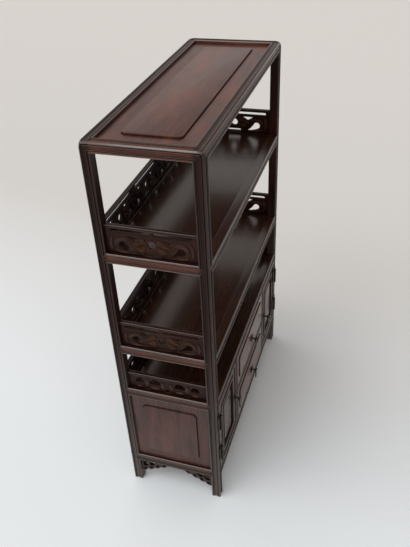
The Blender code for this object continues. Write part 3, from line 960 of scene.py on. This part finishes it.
def moulded_rail(on_end, low, high):
    """The front rail at a level or, on the end, the left one, with pointed shoulders."""
    axis, out, ends = bar_ends(on_end)
    if on_end:
        first, second = (carcass_low.x, inner_front, low), (-inner_x, inner_back, high)
    else:
        first, second = (-inner_x, carcass_low.y, low), (inner_x, inner_front, high)
    piece = moulded_bar("rail", first, second, axis, (out,), shown_arris=corner_arris if on_end else arris)
    mark_inside(piece, out)
    for side, way, _ in ends:
        shouldered(piece, side, way, on_end, low, high)
    return piece


def rails():
    """Four rails at each shelf and round the cabinet's floor, copied from one long and one cross rail."""
    low, high = next(rail_levels())
    kinds = (
        (moulded_rail(False, low, high), WAYS, (LONG_WOOD, LONG_WOOD, WEAR_AND_HIGHLIGHT_WOOD, SHELF_WOOD)),
        # On the cross rails the level top and the inner face take a far darker wood: painted shade at the
        # gallery's foot
        (moulded_rail(True, low, high), SIDES, (CROSS_WOOD, QUIRK_PAINTED_SHADE, CROSS_WEAR_AND_HIGHLIGHT, FRET_CROSS)),
    )
    for level, (underside, _) in zip((*LEVELS, "cabinet_floor"), rail_levels()):
        shift = Z * (underside - low)
        for pattern, places, finishes in kinds:
            for place, sign in places.items():
                turn = HALF_TURN if sign > 0 else 0
                piece = twin(pattern, f"{level}_{place}_moulded_rail", shift, turn, about=carcass_middle)
                dress(piece, f"{level}_{place}_rail" if level in LEVELS else level, "rosewood", *finishes)
    for pattern, _, _ in kinds:
        bpy.data.objects.remove(pattern)


# Fielded boards


def rounded_block(name, first, second, axis, corner, steps=corner_steps, place=None):
    """A block whose four edges along an axis are rounded."""
    low, high = corners(first, second)
    return round_edges(block(name, low, high), runs_along(axis, low, high), corner, steps, place)


def give_slots(piece):
    """Finishes that stand for the ones a piece gets later, so that its marks last when it is joined."""
    for kind in (LONG_WOOD, QUIRK_PAINTED_SHADE, WEAR_AND_HIGHLIGHT_WOOD, SHELF_WOOD):
        piece.data.materials.append(kind)


def raise_field(piece, low, high, direction, margin, rise, painted_shade_sides):
    """Lets a raised field with round corners into the face of a board, with painted shade in the quirk round
    it and, if asked, on the field's sides.
    """
    axis = Vector(map(abs, direction))
    flat = Vector((1, 1, 1)) - axis
    base = (high if max(direction) > 0 else low) * axis
    inset_low = low * flat + flat * margin
    inset_high = high * flat - flat * margin
    sink = base - direction * field_quirk_depth
    groove = flat * field_quirk
    first = inset_low - groove + base + direction * spare
    cutter = rounded_block("field_seat", first, inset_high + groove + sink, axis, field_corner + field_quirk)
    # The groove round the field takes the second finish: painted shade
    mark_all(cutter, SECOND)
    give_slots(piece)
    carve(piece, cutter)
    top = base + direction * rise
    field = rounded_block("field", inset_low + sink, inset_high + top, axis, field_corner)
    level = top.dot(axis)
    round_edges(field, lambda *ends: all(abs(end.dot(axis) - level) < weld for end in ends), field_ease)
    give_slots(field)
    # The field's sides may take the second finish too: painted shade
    if painted_shade_sides:
        mark(field, SECOND, lambda face: abs(face.normal.dot(axis)) < side_share)
    return unite(piece, field)


def fielded_board(name, low, high, direction, margin, painted_shade_sides=False):
    piece = block(name, low, high)
    return raise_field(piece, low, high, direction, margin, field_rise, painted_shade_sides)


def between_rails(low, high):
    """Corners of a level board that fills the space between the rails round it."""
    return (
        Vector((hairline - inner_x, inner_front + hairline, low)),
        Vector((inner_x - hairline, inner_back - hairline, high)),
    )


def top_board():
    under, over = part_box("top_panel")
    low, high = between_rails(under.z, over.z - field_rise)
    piece = fielded_board("top_fielded_board", low, high, Z, field_margin)
    dress(piece, "top_panel", "rosewood", BOARD_WOOD, QUIRK_PAINTED_SHADE)


def shelf_boards():
    """Plain polished boards with eased edges, a little short of the rails round them."""
    node_names = [level + "_panel" for level in LEVELS]
    under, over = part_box(node_names[0])
    low, high = between_rails(under.z, over.z)
    inset = Vector((shelf_gap, shelf_gap, 0))
    piece = block("shelf_board", low + inset, high - inset)
    round_edges(piece, lambda start, stop: min(start.z, stop.z) > high.z - weld, shelf_ease)
    set_out(piece, node_names, "_board", "rosewood", SHELF_WOOD)


def end_boards():
    """The fielded board at the cabinet's left end, and its copy at the right end."""
    low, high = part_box("cabinet_left_panel")
    floor_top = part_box("cabinet_floor")[1].z
    rail_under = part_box("cabinet_top_left_rail")[0].z
    low = Vector((low.x + field_rise, inner_front + hairline, floor_top + hairline))
    high = Vector((high.x, inner_back - hairline, rail_under - hairline))
    left = fielded_board("left_end_fielded_board", low, high, -X, end_field_margin)
    for piece, end in ((left, "left"), (opposite(left, "right_end_fielded_board"), "right")):
        dress(piece, f"cabinet_{end}_panel", "rosewood", END_WOOD, QUIRK_PAINTED_SHADE)


def back_board():
    """Upright boards side by side, with their meeting edges rounded."""
    low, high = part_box("cabinet_back_panel")
    width = 2 * inner_x / back_boards
    first = Vector((hairline - inner_x, low.y, low.z))
    second = Vector((width - inner_x - hairline, high.y, high.z))
    board = rounded_block("cabinet_back_boards", first, second, Z, arris, arris_steps)
    others = [twin(board, "back_board", X * width * index) for index in range(1, back_boards)]
    dress(unite(board, *others), "cabinet_back_panel", "rosewood", BACK_WOOD)


# Outlines of the pierced work, as lists of points across and up


def arc(centre, radius, start, stop, steps=arc_steps):
    """Points on an arc, angles in degrees, both ends included."""
    angles = [math.radians(start + (stop - start) * step / steps) for step in range(steps + 1)]
    return [(centre[0] + radius * math.cos(turn), centre[1] + radius * math.sin(turn)) for turn in angles]


def sweep(start, pull, stop):
    """Points on a bow from a start, drawn towards a pull, without its last point."""
    shares = [step / arc_steps for step in range(arc_steps)]
    return [
        tuple(
            (1 - share) ** 2 * start[i] + 2 * share * (1 - share) * pull[i] + share**2 * stop[i]
            for i in range(2)
        )
        for share in shares
    ]


def ring(centre, radius):
    return arc(centre, radius, 0, 360, 2 * arc_steps)[:-1]


def round_slot(low, high, middle, thickness):
    radius = thickness / 2
    return arc((high - radius, middle), radius, -90, 90) + arc((low + radius, middle), radius, 90, 270)


def comma(head, radius, tail, bow):
    """A round head whose tail sweeps to a point."""
    head = Vector(head)
    tail = Vector(tail)
    heading = math.degrees(math.atan2(*(tail - head).yx))
    across = Vector((-(tail - head).y, (tail - head).x)).normalized()
    back_of_head = arc(head, radius, heading + 90, heading + 270)
    lower = Vector(back_of_head[-1])
    upper = Vector(back_of_head[0])
    outward = sweep(lower, (lower + tail) / 2 + across * bow, tail)
    homeward = sweep(tail, (upper + tail) / 2 + across * bow, upper)
    return back_of_head[:-1] + outward + homeward


def wound(loop, way):
    """The loop in the direction that is asked for, 1 against the clock and -1 with it."""
    pairs = zip(loop, loop[1:] + loop[:1])
    turn = sum(start[0] * stop[1] - stop[0] * start[1] for start, stop in pairs)
    return list(loop) if turn * way > 0 else list(reversed(loop))


def flipped(loop):
    return [(-across, rise) for across, rise in reversed(loop)]


def both_ways(loops):
    return loops + [flipped(loop) for loop in loops]


def arch(middle, base, span, rise):
    radius = span / 2
    head = arc((middle, base + rise - radius), radius, 0, 180, 2 * arc_steps)
    return [(middle + radius, base), *head, (middle - radius, base)]


def hollow_triangle(top):
    """A triangle hung a little below a level, with its sides bowed."""
    top -= triangle_sink
    left = Vector((triangle_place - triangle_half, top))
    right = Vector((triangle_place + triangle_half, top))
    point = Vector((triangle_place, top - triangle_drop))
    crown = (left + right) / 2
    inward_left, inward_right = (((end + point) / 2).lerp(crown, triangle_hollow) for end in (left, right))
    return sweep(left, inward_left, point) + sweep(point, inward_right, right) + [tuple(right)]


# Outlines of the carved leaves and scrolls on one side of a motif
TALL_LEAVES = (
    (
        (0.0074, 0.0205), (0.0092, 0.0250), (0.0128, 0.0258), (0.0160, 0.0228), (0.0205, 0.0190),
        (0.0252, 0.0165), (0.0228, 0.0140), (0.0180, 0.0146), (0.0130, 0.0166),
    ),
    (
        (0.0082, 0.0142), (0.0130, 0.0146), (0.0186, 0.0126), (0.0212, 0.0098), (0.0170, 0.0066),
        (0.0128, 0.0052), (0.0090, 0.0072),
    ),
)
TALL_SCROLLS = (
    (
        (0.0275, 0.0178), (0.0320, 0.0198), (0.0385, 0.0192), (0.0442, 0.0162), (0.0478, 0.0122),
        (0.0488, 0.0180), (0.0440, 0.0228), (0.0380, 0.0240), (0.0320, 0.0226),
    ),
    (
        (0.0508, 0.0050), (0.0542, 0.0066), (0.0560, 0.0130), (0.0548, 0.0205), (0.0512, 0.0250),
        (0.0514, 0.0180), (0.0520, 0.0110),
    ),
    (
        (0.0310, 0.0030), (0.0370, 0.0036), (0.0430, 0.0046), (0.0470, 0.0080), (0.0476, 0.0040),
        (0.0420, 0.0014), (0.0360, 0.0012),
    ),
)
LOW_SCROLLS = (
    (
        (0.0052, 0.0196), (0.0084, 0.0160), (0.0092, 0.0100), (0.0066, 0.0070), (0.0042, 0.0100),
        (0.0036, 0.0150),
    ),
    (
        (0.0290, 0.0196), (0.0326, 0.0196), (0.0338, 0.0140), (0.0324, 0.0084), (0.0292, 0.0084),
        (0.0278, 0.0140),
    ),
    (
        (0.0130, 0.0062), (0.0190, 0.0082), (0.0250, 0.0062), (0.0240, 0.0032), (0.0190, 0.0020),
        (0.0140, 0.0032),
    ),
    (
        (0.0380, 0.0062), (0.0430, 0.0080), (0.0482, 0.0062), (0.0474, 0.0032), (0.0430, 0.0020),
        (0.0386, 0.0032),
    ),
)


def moved(loop, across):
    return [(place + across, rise) for place, rise in loop]


def smooth_loop(points):
    """A closed line drawn smoothly through a few points."""
    loop = []
    count = len(points)
    for index in range(count):
        before, start, stop, after = (Vector(points[(index + shift) % count]) for shift in (-1, 0, 1, 2))
        for step in range(smooth_steps):
            share = step / smooth_steps
            line = 2 * start + (stop - before) * share
            bend = (2 * before - 5 * start + 4 * stop - after) * share**2
            twist = (3 * start - before - 3 * stop + after) * share**3
            loop.append(tuple((line + bend + twist) / 2))
    return loop


def tall_motif(span, zone, strutted):
    """The slots under the cap, and the other holes, which have beads round them."""
    reach = span / 2 - slot_end
    slot_middle = zone + pattern_rim + slot_height / 2
    if strutted:
        slots = both_ways([round_slot(slot_strut / 2, reach, slot_middle, slot_height)])
    else:
        slots = [round_slot(-reach, reach, slot_middle, slot_height)]
    pierced = both_ways(
        [hollow_triangle(zone - pattern_rim), comma(comma_head, comma_radius, comma_tail, comma_bow)]
    )
    middle = [
        ring((0, disc_rise), disc_radius),
        round_slot(-bar_half, bar_half, pattern_rim + bar_hole / 2, bar_hole),
    ]
    return slots, middle + pierced


def low_motif(zone):
    wide = arch(wide_arch_place, zone / 2, wide_arch, zone / 2 - pattern_rim)
    narrow = arch(narrow_arch_place, zone / 2, narrow_arch, zone / 2 - 2 * pattern_rim)
    gap = arch((wide_arch_place + narrow_arch_place) / 2, pattern_rim, foot_gap, foot_gap_rise)
    return [arch(0, pattern_rim, foot_gap, middle_gap_rise), *both_ways([wide, narrow, gap])]


def spread(loop, stand):
    """A loop drawn again at a distance outside itself."""
    loop = [Vector(point) for point in wound(loop, 1)]
    wider = []
    for before, point, after in zip(loop[-1:] + loop[:-1], loop, loop[1:] + loop[:1]):
        heading = (after - before).normalized()
        wider.append((point.x + heading.y * stand, point.y - heading.x * stand))
    return wider


def drawn(name, loops, thickness, rounding, filled):
    """Closed lines drawn flat, filled or as round cords, and made a mesh."""
    curve = bpy.data.curves.new(name, "CURVE")
    curve.dimensions = "2D" if filled else "3D"
    curve.fill_mode = "BOTH" if filled else "FULL"
    curve.extrude = thickness / 2 - rounding
    curve.bevel_depth = rounding
    curve.bevel_resolution = fret_rounding_steps
    curve.offset = -rounding if filled else 0
    for loop in loops:
        spline = curve.splines.new("POLY")
        spline.points.add(len(loop) - 1)
        spline.use_cyclic_u = True
        for point, (across, rise) in zip(spline.points, loop):
            point.co = (across, rise, 0, 1)
    only(in_scene(name, curve))
    bpy.ops.object.convert(target="MESH")
    piece = bpy.context.object
    start_edit(piece, "VERT")
    bpy.ops.mesh.select_all(action="SELECT")
    bpy.ops.mesh.remove_doubles(threshold=weld)
    bpy.ops.mesh.normals_make_consistent(inside=False)
    end_edit()
    return piece


def on_both_faces(name, loops, height, rounding, filled, sunk, place):
    """Raised work on one face of a pierced board, and its copy on the other."""
    piece = drawn(name, loops, height, rounding, filled)
    piece.location.z = -sunk
    mark_all(settle(piece), place)
    return [piece, twin(piece, name, Z * 2 * sunk)]


def fretwork(name, outline, holes, centre, along, thickness, rimmed=(), dark_leaves=(), warm_leaves=()):
    """A pierced board with softened edges, beads round its holes and carved leaves, stood up in place."""
    loops = (wound(outline, 1), *(wound(hole, -1) for hole in holes))
    piece = drawn(name, loops, thickness, fret_rounding, True)
    give_slots(piece)
    face = fret_thickness / 2
    carving = []
    if rimmed:
        beads = [spread(hole, rim_stand) for hole in rimmed]
        sunk = face - rim_radius / 2
        carving += on_both_faces("rims", beads, 2 * rim_radius, rim_radius, False, sunk, FOURTH)
    for leaves, place in ((dark_leaves, FOURTH), (warm_leaves, SECOND)):
        if leaves:
            swells = [wound(leaf, 1) for leaf in leaves]
            carving += on_both_faces("leaves", swells, 2 * leaf_rise, leaf_round, True, face, place)
    unite(piece, *carving)
    piece.matrix_world = Matrix.Translation(centre) @ Matrix((along, Z, along.cross(Z))).transposed().to_4x4()
    return settle(piece)


def gallery_cap(seat, along, half, shoulder, tall):
    """A rounded cap along the top of a gallery."""
    across = along.cross(Z) * cap_depth / 2
    first = seat - along * half - across + Z * shoulder
    second = seat + along * half + across + Z * tall
    # The cap's rounded edges take the third finish: wear, and a painted highlight
    cap = rounded_block("cap", first, second, along, cap_ease, arris_steps, THIRD)
    give_slots(cap)
    return cap


def gallery(node_name, length, along, slotted):
    """A pierced and carved board, tall with a slot under its cap or low with arches."""
    low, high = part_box(node_name)
    seat = Vector(((low.x + high.x) / 2, (low.y + high.y) / 2, low.z))
    tall = high.z - low.z
    shoulder = tall - cap_height
    half = length / 2 - hairline
    zone = shoulder - 2 * pattern_rim - (slot_height if slotted else 0)
    repeats = max(1, int(length / (tall_motif_length if slotted else low_motif_length)))
    pitch = length / repeats
    slots, pierced = tall_motif(pitch, zone, repeats == 1) if slotted else ([], low_motif(zone))
    places = [(index + 0.5) * pitch - length / 2 for index in range(repeats)]
    dark_leaves = both_ways([smooth_loop(leaf) for leaf in (TALL_SCROLLS if slotted else LOW_SCROLLS)])
    warm_leaves = both_ways([smooth_loop(leaf) for leaf in TALL_LEAVES]) if slotted else []
    holes, rims, scrolls, leaves = (
        [moved(loop, middle) for middle in places for loop in loops]
        for loops in (slots + pierced, pierced, dark_leaves, warm_leaves)
    )
    rise = shoulder + cap_height / 2
    outline = [(half, 0), (half, rise), (-half, rise), (-half, 0)]
    piece = fretwork("gallery", outline, holes, seat, along, fret_thickness, rims, scrolls, leaves)
    return unite(piece, gallery_cap(seat, along, half, shoulder, tall))


def galleries():
    """One gallery of each kind, copied to the levels and ends that have it."""
    for levels, slotted in ((LEVELS[:2], True), (LEVELS[2:], False)):
        ends = [f"{level}_{end}_gallery" for level in levels for end in SIDES]
        backs = [level + "_back_gallery" for level in levels]
        cross = gallery(ends[0], inner_back - inner_front, Y, slotted)
        set_out(cross, ends, "_fretwork", "rosewood", FRET_CROSS, LOBE_WOOD, CAP_WEAR_AND_HIGHLIGHT, SCROLL_WOOD)
        long = gallery(backs[0], 2 * inner_x, X, slotted)
        # The back galleries take the near-black fret: painted shade
        set_out(long, backs, "_fretwork", "rosewood", FRET_LONG_PAINTED_SHADE, FRET_CROSS, CAP_WEAR_AND_HIGHLIGHT, FRET_LONG_PAINTED_SHADE)


def bracket_boards():
    """A board under each end rail with lobed, pierced brackets at the posts."""
    node_names = [end + "_apron" for end in SIDES]
    low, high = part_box(node_names[0])
    half = (high.y - low.y) / 2
    start = half - bracket_reach
    lobe_run = bracket_reach / bracket_lobes
    lobe_fall = (bracket_drop - bracket_arch) / bracket_lobes

    def on_edge(lobes):
        return Vector((start + lobe_run * lobes, -bracket_arch - lobe_fall * lobes))

    def from_post(place):
        return Vector((half - place.x, -place.y))

    edge = []
    pierced = [round_slot(half - bracket_slot_reach, half - bracket_rim, -bracket_slot_drop, bracket_slot)]
    for lobe in range(bracket_lobes):
        pierced.append(ring(on_edge(lobe + 0.5) + Vector((0, bracket_eye_lift)), bracket_eye))
        for step in range(arc_steps):
            share = step / arc_steps
            across, rise = on_edge(lobe + share)
            edge.append((across, rise - bracket_bulge * math.sin(math.pi * share)))
    for head in bracket_comma_heads:
        pierced.append(comma(from_post(head), bracket_comma, from_post(head + bracket_comma_tail), 0))
    edge.append((half, -bracket_drop))
    outline = [(-half, 0), *flipped(edge), *edge, (half, 0)]
    seat = Vector(((low.x + high.x) / 2, middle_y, high.z))
    piece = fretwork("bracket_board", outline, both_ways(pierced), seat, Y, high.x - low.x)
    # The walls of the holes and the edges take the dark finish: painted shade
    mark(piece, SECOND, lambda face: abs(face.normal.x) < side_share)
    set_out(piece, node_names, "_bracket_board", "rosewood", BRACKET_WOOD, QUIRK_PAINTED_SHADE)


# Cabinet front


def drawer_case():
    """Moulded uprights beside the drawers and a moulded divider between them."""
    low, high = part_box("drawer_case")
    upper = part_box("upper_drawer")[0]
    lower_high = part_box("lower_drawer")[1]
    reveal = (upper.x - low.x) - drawer_upright
    span = high.x - drawer_upright
    left = moulded_bar("upright", low, Vector((-span, high.y, high.z)), Z, (-Y,), narrow_share)
    slice_off(left, high, Z)
    slice_off(left, low, -Z)
    right = twin(left, "upright", X * (span + high.x))
    first = Vector((-span, low.y, lower_high.z + reveal))
    second = Vector((span, high.y, upper.z - reveal))
    divider = moulded_bar("drawer_case_frame", first, second, X, (-Y,), narrow_share)
    slice_off(divider, first, -X)
    slice_off(divider, second, X)
    piece = unite(divider, left, right)
    dress(piece, "drawer_case", "rosewood", POST_WOOD, QUIRK_PAINTED_SHADE, POST_WEAR_AND_HIGHLIGHT)


def floor_board():
    """The board behind the doors and drawers, level with the rails round it."""
    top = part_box("cabinet_floor")[1].z
    first, second = between_rails(top - floor_thickness, top)
    board = rounded_block("cabinet_floor_board", first, second, X, arris)
    dress(board, "cabinet_floor", "rosewood", LONG_WOOD)


def front_edges(low, high):
    """A test for the outer edges of a front's face."""

    def test(start, stop):
        on_front = abs(start.y - low.y) < weld and abs(stop.y - low.y) < weld
        limits = [(i, limit[i]) for i in (0, 2) for limit in (low, high)]
        return on_front and any(abs(start[i] - at) < weld and abs(stop[i] - at) < weld for i, at in limits)

    return test


def doors():
    """The left door's moulded frame and fielded board, and their copies for the right door."""
    frames = [door + "_frame" for door in DOORS]
    panels = [door + "_panel" for door in DOORS]
    low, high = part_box(frames[0])
    inset_low = Vector((low.x + door_stile, low.y, low.z + door_stile))
    inset_high = Vector((high.x - door_stile, high.y, high.z - door_stile))
    piece = block("door_frame", low, high)
    opening = block("door_opening", inset_low - Y * spare, inset_high + Y * spare)
    # The opening's walls take the fourth finish: painted shade
    mark_all(opening, FOURTH)
    give_slots(piece)
    carve(piece, opening)
    mould(piece, -Y)
    # The front edges take the third finish: wear, and a painted highlight
    round_edges(piece, front_edges(low, high), arris, arris_steps, THIRD)
    set_out(piece, frames, "_moulded", "rosewood", FRONT_WOOD, QUIRK_PAINTED_SHADE, WEAR_AND_HIGHLIGHT_WOOD, SOFT_QUIRK_PAINTED_SHADE)
    plate_low, plate_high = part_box(panels[0])
    first = Vector((inset_low.x + hairline, plate_low.y + field_rise, inset_low.z + hairline))
    second = Vector((inset_high.x - hairline, plate_high.y, inset_high.z - hairline))
    # The door field's groove and sides take painted shade
    board = fielded_board("door_board", first, second, -Y, door_field_margin, True)
    set_out(board, panels, "_fielded_board", "rosewood", FRONT_WOOD, SOFT_QUIRK_PAINTED_SHADE)


def drawers():
    """A drawer's front with a raised field and the tray behind it, made once for both drawers."""
    low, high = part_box(DRAWERS[0])
    first = low + Y * drawer_field_rise
    piece = block("drawer", first, high)
    cavity_low = first + Vector((drawer_wall, drawer_front, drawer_bottom))
    cavity_high = Vector((high.x - drawer_wall, high.y - drawer_wall, high.z + spare))
    carve(piece, block("cavity", cavity_low, cavity_high))
    round_edges(piece, front_edges(first, high), arris)
    # The drawer field's groove and sides take painted shade
    raise_field(piece, first, high, -Y, drawer_field_margin, drawer_field_rise, True)
    mark(piece, THIRD, lambda face: face.center.y > first.y + drawer_front / 2)
    set_out(piece, DRAWERS, "_front_and_tray", "rosewood", DRAWER_PAINTED_LIGHT_WOOD, SOFT_QUIRK_PAINTED_SHADE, LINING)


# Hinges and pulls


def ball(name, centre, radius, sides):
    rings = sides // 2
    bpy.ops.mesh.primitive_uv_sphere_add(segments=sides, ring_count=rings, radius=radius, location=centre)
    return just_added(name)


def hinge_leaf(node_name, axis_x, knuckles):
    """A plate with softened corners, two nails and its knuckles on the hinge's line."""
    low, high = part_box(node_name)
    outward = 1 if (low.x + high.x) / 2 > axis_x else -1
    axis_y = low.y + knuckle_radius
    back = axis_y + knuckle_radius
    front = back - leaf_thickness
    edge = high.x if outward > 0 else low.x
    first = Vector((axis_x + outward * (knuckle_radius + leaf_ease), back, low.z))
    plate = rounded_block("hinge_leaf", first, Vector((edge, front, high.z)), Y, leaf_corner)
    round_edges(plate, lambda start, stop: max(abs(start.y - front), abs(stop.y - front)) < weld, leaf_ease)
    middle = (low.z + high.z) / 2
    nail = ball("nail", (axis_x + outward * nail_inset, front, middle - nail_spread), nail_radius, nail_sides)
    nail.scale.y = nail_rise / nail_radius
    settle(nail)
    extras = [nail, twin(nail, "nail", Z * 2 * nail_spread)]
    start, stop = knuckles[0]
    centre = Vector((axis_x, axis_y, low.z + (start + stop) / 2))
    barrel = rod("barrel", centre, Z, knuckle_radius, stop - start, knuckle_sides)
    round_edges(barrel, lambda start, stop: abs(start.z - stop.z) < weld, leaf_ease)
    web_first = Vector((axis_x, back, low.z + start))
    web = block("web", web_first, Vector((axis_x + outward * 2 * knuckle_radius, front, low.z + stop)))
    unite(barrel, web)
    extras += [barrel, *(twin(barrel, "barrel", Z * (other - start)) for other, _ in knuckles[1:])]
    return unite(plate, *extras)


def hinge_leaves():
    """One leaf of each kind, copied to the lower hinge and turned over for the right door."""
    first_low, first_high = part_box("left_upper_hinge_post_leaf")
    third = (first_high.z - first_low.z) / 3
    outer = [(0, third - leaf_ease), (2 * third + leaf_ease, 3 * third)]
    axis_x = joint_place("left_door_hinge").x
    middle = Z * (first_low.z + first_high.z) / 2
    for kind, knuckles in (("post", outer), ("door", [(third, 2 * third)])):
        pattern = hinge_leaf(f"left_upper_hinge_{kind}_leaf", axis_x, knuckles)
        for end, side in SIDES.items():
            for level in ("upper", "lower"):
                node_name = f"{end}_{level}_hinge_{kind}_leaf"
                shift = Z * (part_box(node_name)[0].z - first_low.z)
                turn = HALF_TURN if side > 0 else 0
                piece = twin(pattern, node_name + "_with_nails", shift, turn, Y, middle)
                dress(piece, node_name, "aged_brass", BRASS)
        bpy.data.objects.remove(pattern)


def joint_place(name):
    return Vector(next(joint["pos_m"] for joint in frame["joints"] if joint["name"] == name))


def rosettes():
    """A petalled plate, a stem and the cross bar that the pendant swings on, copied to each pull."""
    node_names = [front + "_rosette" for front in DOORS + DRAWERS]
    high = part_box(node_names[0])[1]
    axis = joint_place(DOORS[0] + "_pendant_swing")
    base = Vector((axis.x, high.y, axis.z))

    def petalled(place):
        away = place - base
        turn = math.atan2(away.z, away.x)
        pull = 1 - petal_depth * abs(math.sin(turn * rosette_petals / 2)) ** petal_power
        return Vector((base.x + away.x * pull, place.y, base.z + away.z * pull))

    sides = petal_corners * rosette_petals
    plate = rod("rosette", base - Y * leaf_thickness / 2, Y, rosette_radius, leaf_thickness, sides)
    reshape(plate, petalled)
    choose_faces(plate, -Y)
    bpy.ops.mesh.inset(thickness=leaf_ease, depth=leaf_ease / 2)
    bpy.ops.mesh.inset(thickness=rosette_radius / 3, depth=-leaf_ease)
    bpy.ops.mesh.inset(thickness=leaf_ease, depth=leaf_ease)
    end_edit()
    reach = base.y - axis.y
    stem = rod("stem", base - Y * reach / 2, Y, stem_radius, reach, knuckle_sides)
    collar_place = base - Y * (leaf_thickness + leaf_ease)
    collar = rod("collar", collar_place, Y, collar_radius, 2 * leaf_ease, knuckle_sides)
    bar = rod("bar", axis, X, bar_radius, 2 * lug_reach, knuckle_sides)
    knob = settle(ball("knob", axis, knob_radius, knob_sides))
    piece = unite(plate, stem, collar, bar, knob)
    set_out(piece, node_names, "_with_stem", "aged_brass", BRASS)


def pendants():
    """A flattened drop that widens to its lower end, on two lugs round the cross bar, copied to each pull."""
    node_names = [front + "_pendant" for front in DOORS + DRAWERS]
    axis = joint_place(node_names[0] + "_swing")

    def widening(place):
        share = (axis.z - place.z) / pendant_length
        widened = pendant_neck + (1 - pendant_neck) * min(1, share / pendant_swell) ** 2
        return Vector((axis.x + (place.x - axis.x) * widened, place.y, place.z))

    piece = ball("pendant", axis - Z * (pendant_length / 2 + bar_radius), unit_radius, pendant_sides)
    piece.scale = (pendant_width, pendant_thickness, pendant_length - 2 * bar_radius)
    reshape(settle(piece), widening)
    lug_start = stem_radius + lug_play
    middle = axis - X * (lug_start + lug_reach) / 2
    lug = rod("lug", middle, X, lug_radius, lug_reach - lug_start, knuckle_sides)
    carve(lug, rod("bore", middle, X, bar_radius + lug_play, lug_reach, knuckle_sides))
    ear_first = Vector((axis.x - lug_start, axis.y - bar_radius, axis.z - bar_radius))
    ear_second = Vector((axis.x - lug_reach, axis.y + bar_radius, axis.z - ear_drop))
    ear = round_edges(
        block("ear", ear_first, ear_second), lambda start, stop: abs(start.z - stop.z) > weld, leaf_ease
    )
    carve(ear, rod("bore", middle, X, bar_radius + 2 * lug_play, lug_reach, knuckle_sides))
    unite(lug, ear)
    unite(piece, lug, twin(lug, "lug", X * (lug_start + lug_reach)))
    set_out(piece, node_names, "_drop", "aged_brass", BRASS)


# Everything in its place
posts()
top_members()
rails()
top_board()
shelf_boards()
end_boards()
back_board()
floor_board()
galleries()
bracket_boards()
drawer_case()
doors()
drawers()
hinge_leaves()
rosettes()
pendants()


# Floor, light and camera


def pale_floor():
    """A pale floor with painted light and shade in its colour: cooler and brighter beside the window, warmer
    and darker away from it.
    """
    bpy.ops.mesh.primitive_plane_add(size=floor_size, location=(0, 0, -hairline))
    floor = just_added("pale_floor")
    finish, tree, shader, place = blank("pale_paper")
    away = node(tree, "VectorMath", {0: place, 1: floor_heading}, operation="DOT_PRODUCT").outputs["Value"]
    reach = mapped(tree, away, {"From Min": floor_near, "From Max": floor_far})
    tone = ramp(tree, reach, (0.0, floor_turn, 1.0), (FLOOR_COOL, FLOOR_SHADE, FLOOR_WARM))
    feed(tree, shader, {"Base Color": tone, "Roughness": floor_roughness})
    floor.data.materials.append(finish)


def window_light(name, place, strength, spread):
    """Even light from one side, with shadows as soft as its spread in degrees."""
    data = bpy.data.lights.new(name, "SUN")
    data.energy = strength
    data.angle = math.radians(spread)
    data.color = WINDOW_COLOUR
    lamp = in_scene(name, data)
    lamp.location = place
    lamp.rotation_euler = (-place).to_track_quat("-Z", "Y").to_euler()


def room_light():
    """Light from all round, stronger from the back, and an even pale room where it is seen or mirrored."""
    world = bpy.data.worlds.new("room")
    world.use_nodes = True
    tree = world.node_tree
    heading = node(tree, "TexCoord").outputs["Generated"]
    limits = {"From Min": -1.0, "To Min": sky_at_front, "To Max": sky_at_back}
    glow = mapped(tree, part_along(tree, heading, "Y"), limits)
    sky = feed(tree, tree.nodes["Background"], {"Color": SKY, "Strength": glow})
    pale = node(tree, "Background", {"Color": PALE, "Strength": pale_strength})
    rays = node(tree, "LightPath").outputs
    seen = rays["Is Camera Ray"]
    for kind in ("Is Glossy Ray", "Is Transmission Ray"):
        seen = reckon(tree, "MAXIMUM", seen, rays[kind])
    choice = node(tree, "MixShader", {"Fac": seen, 1: sky.outputs[0], 2: pale.outputs[0]})
    feed(tree, tree.nodes["World Output"], {"Surface": choice.outputs[0]})
    bpy.context.scene.world = world


def photo_camera():
    data = bpy.data.cameras.new("photo_camera")
    data.sensor_fit = "VERTICAL"
    data.sensor_height = camera_sensor
    data.lens = camera_lens
    data.shift_x, data.shift_y = camera_shift
    camera = in_scene("photo_camera", data)
    stand = Matrix.Translation(camera_place)
    for turn, axis in ((camera_azimuth, Z), (QUARTER_TURN - camera_elevation, X), (camera_roll, Z)):
        stand @= Matrix.Rotation(turn, 4, axis)
    camera.matrix_world = stand
    bpy.context.scene.camera = camera


pale_floor()
room_light()
for window in WINDOWS:
    window_light(*window)
photo_camera()
bpy.context.scene.view_settings.view_transform = "Standard"
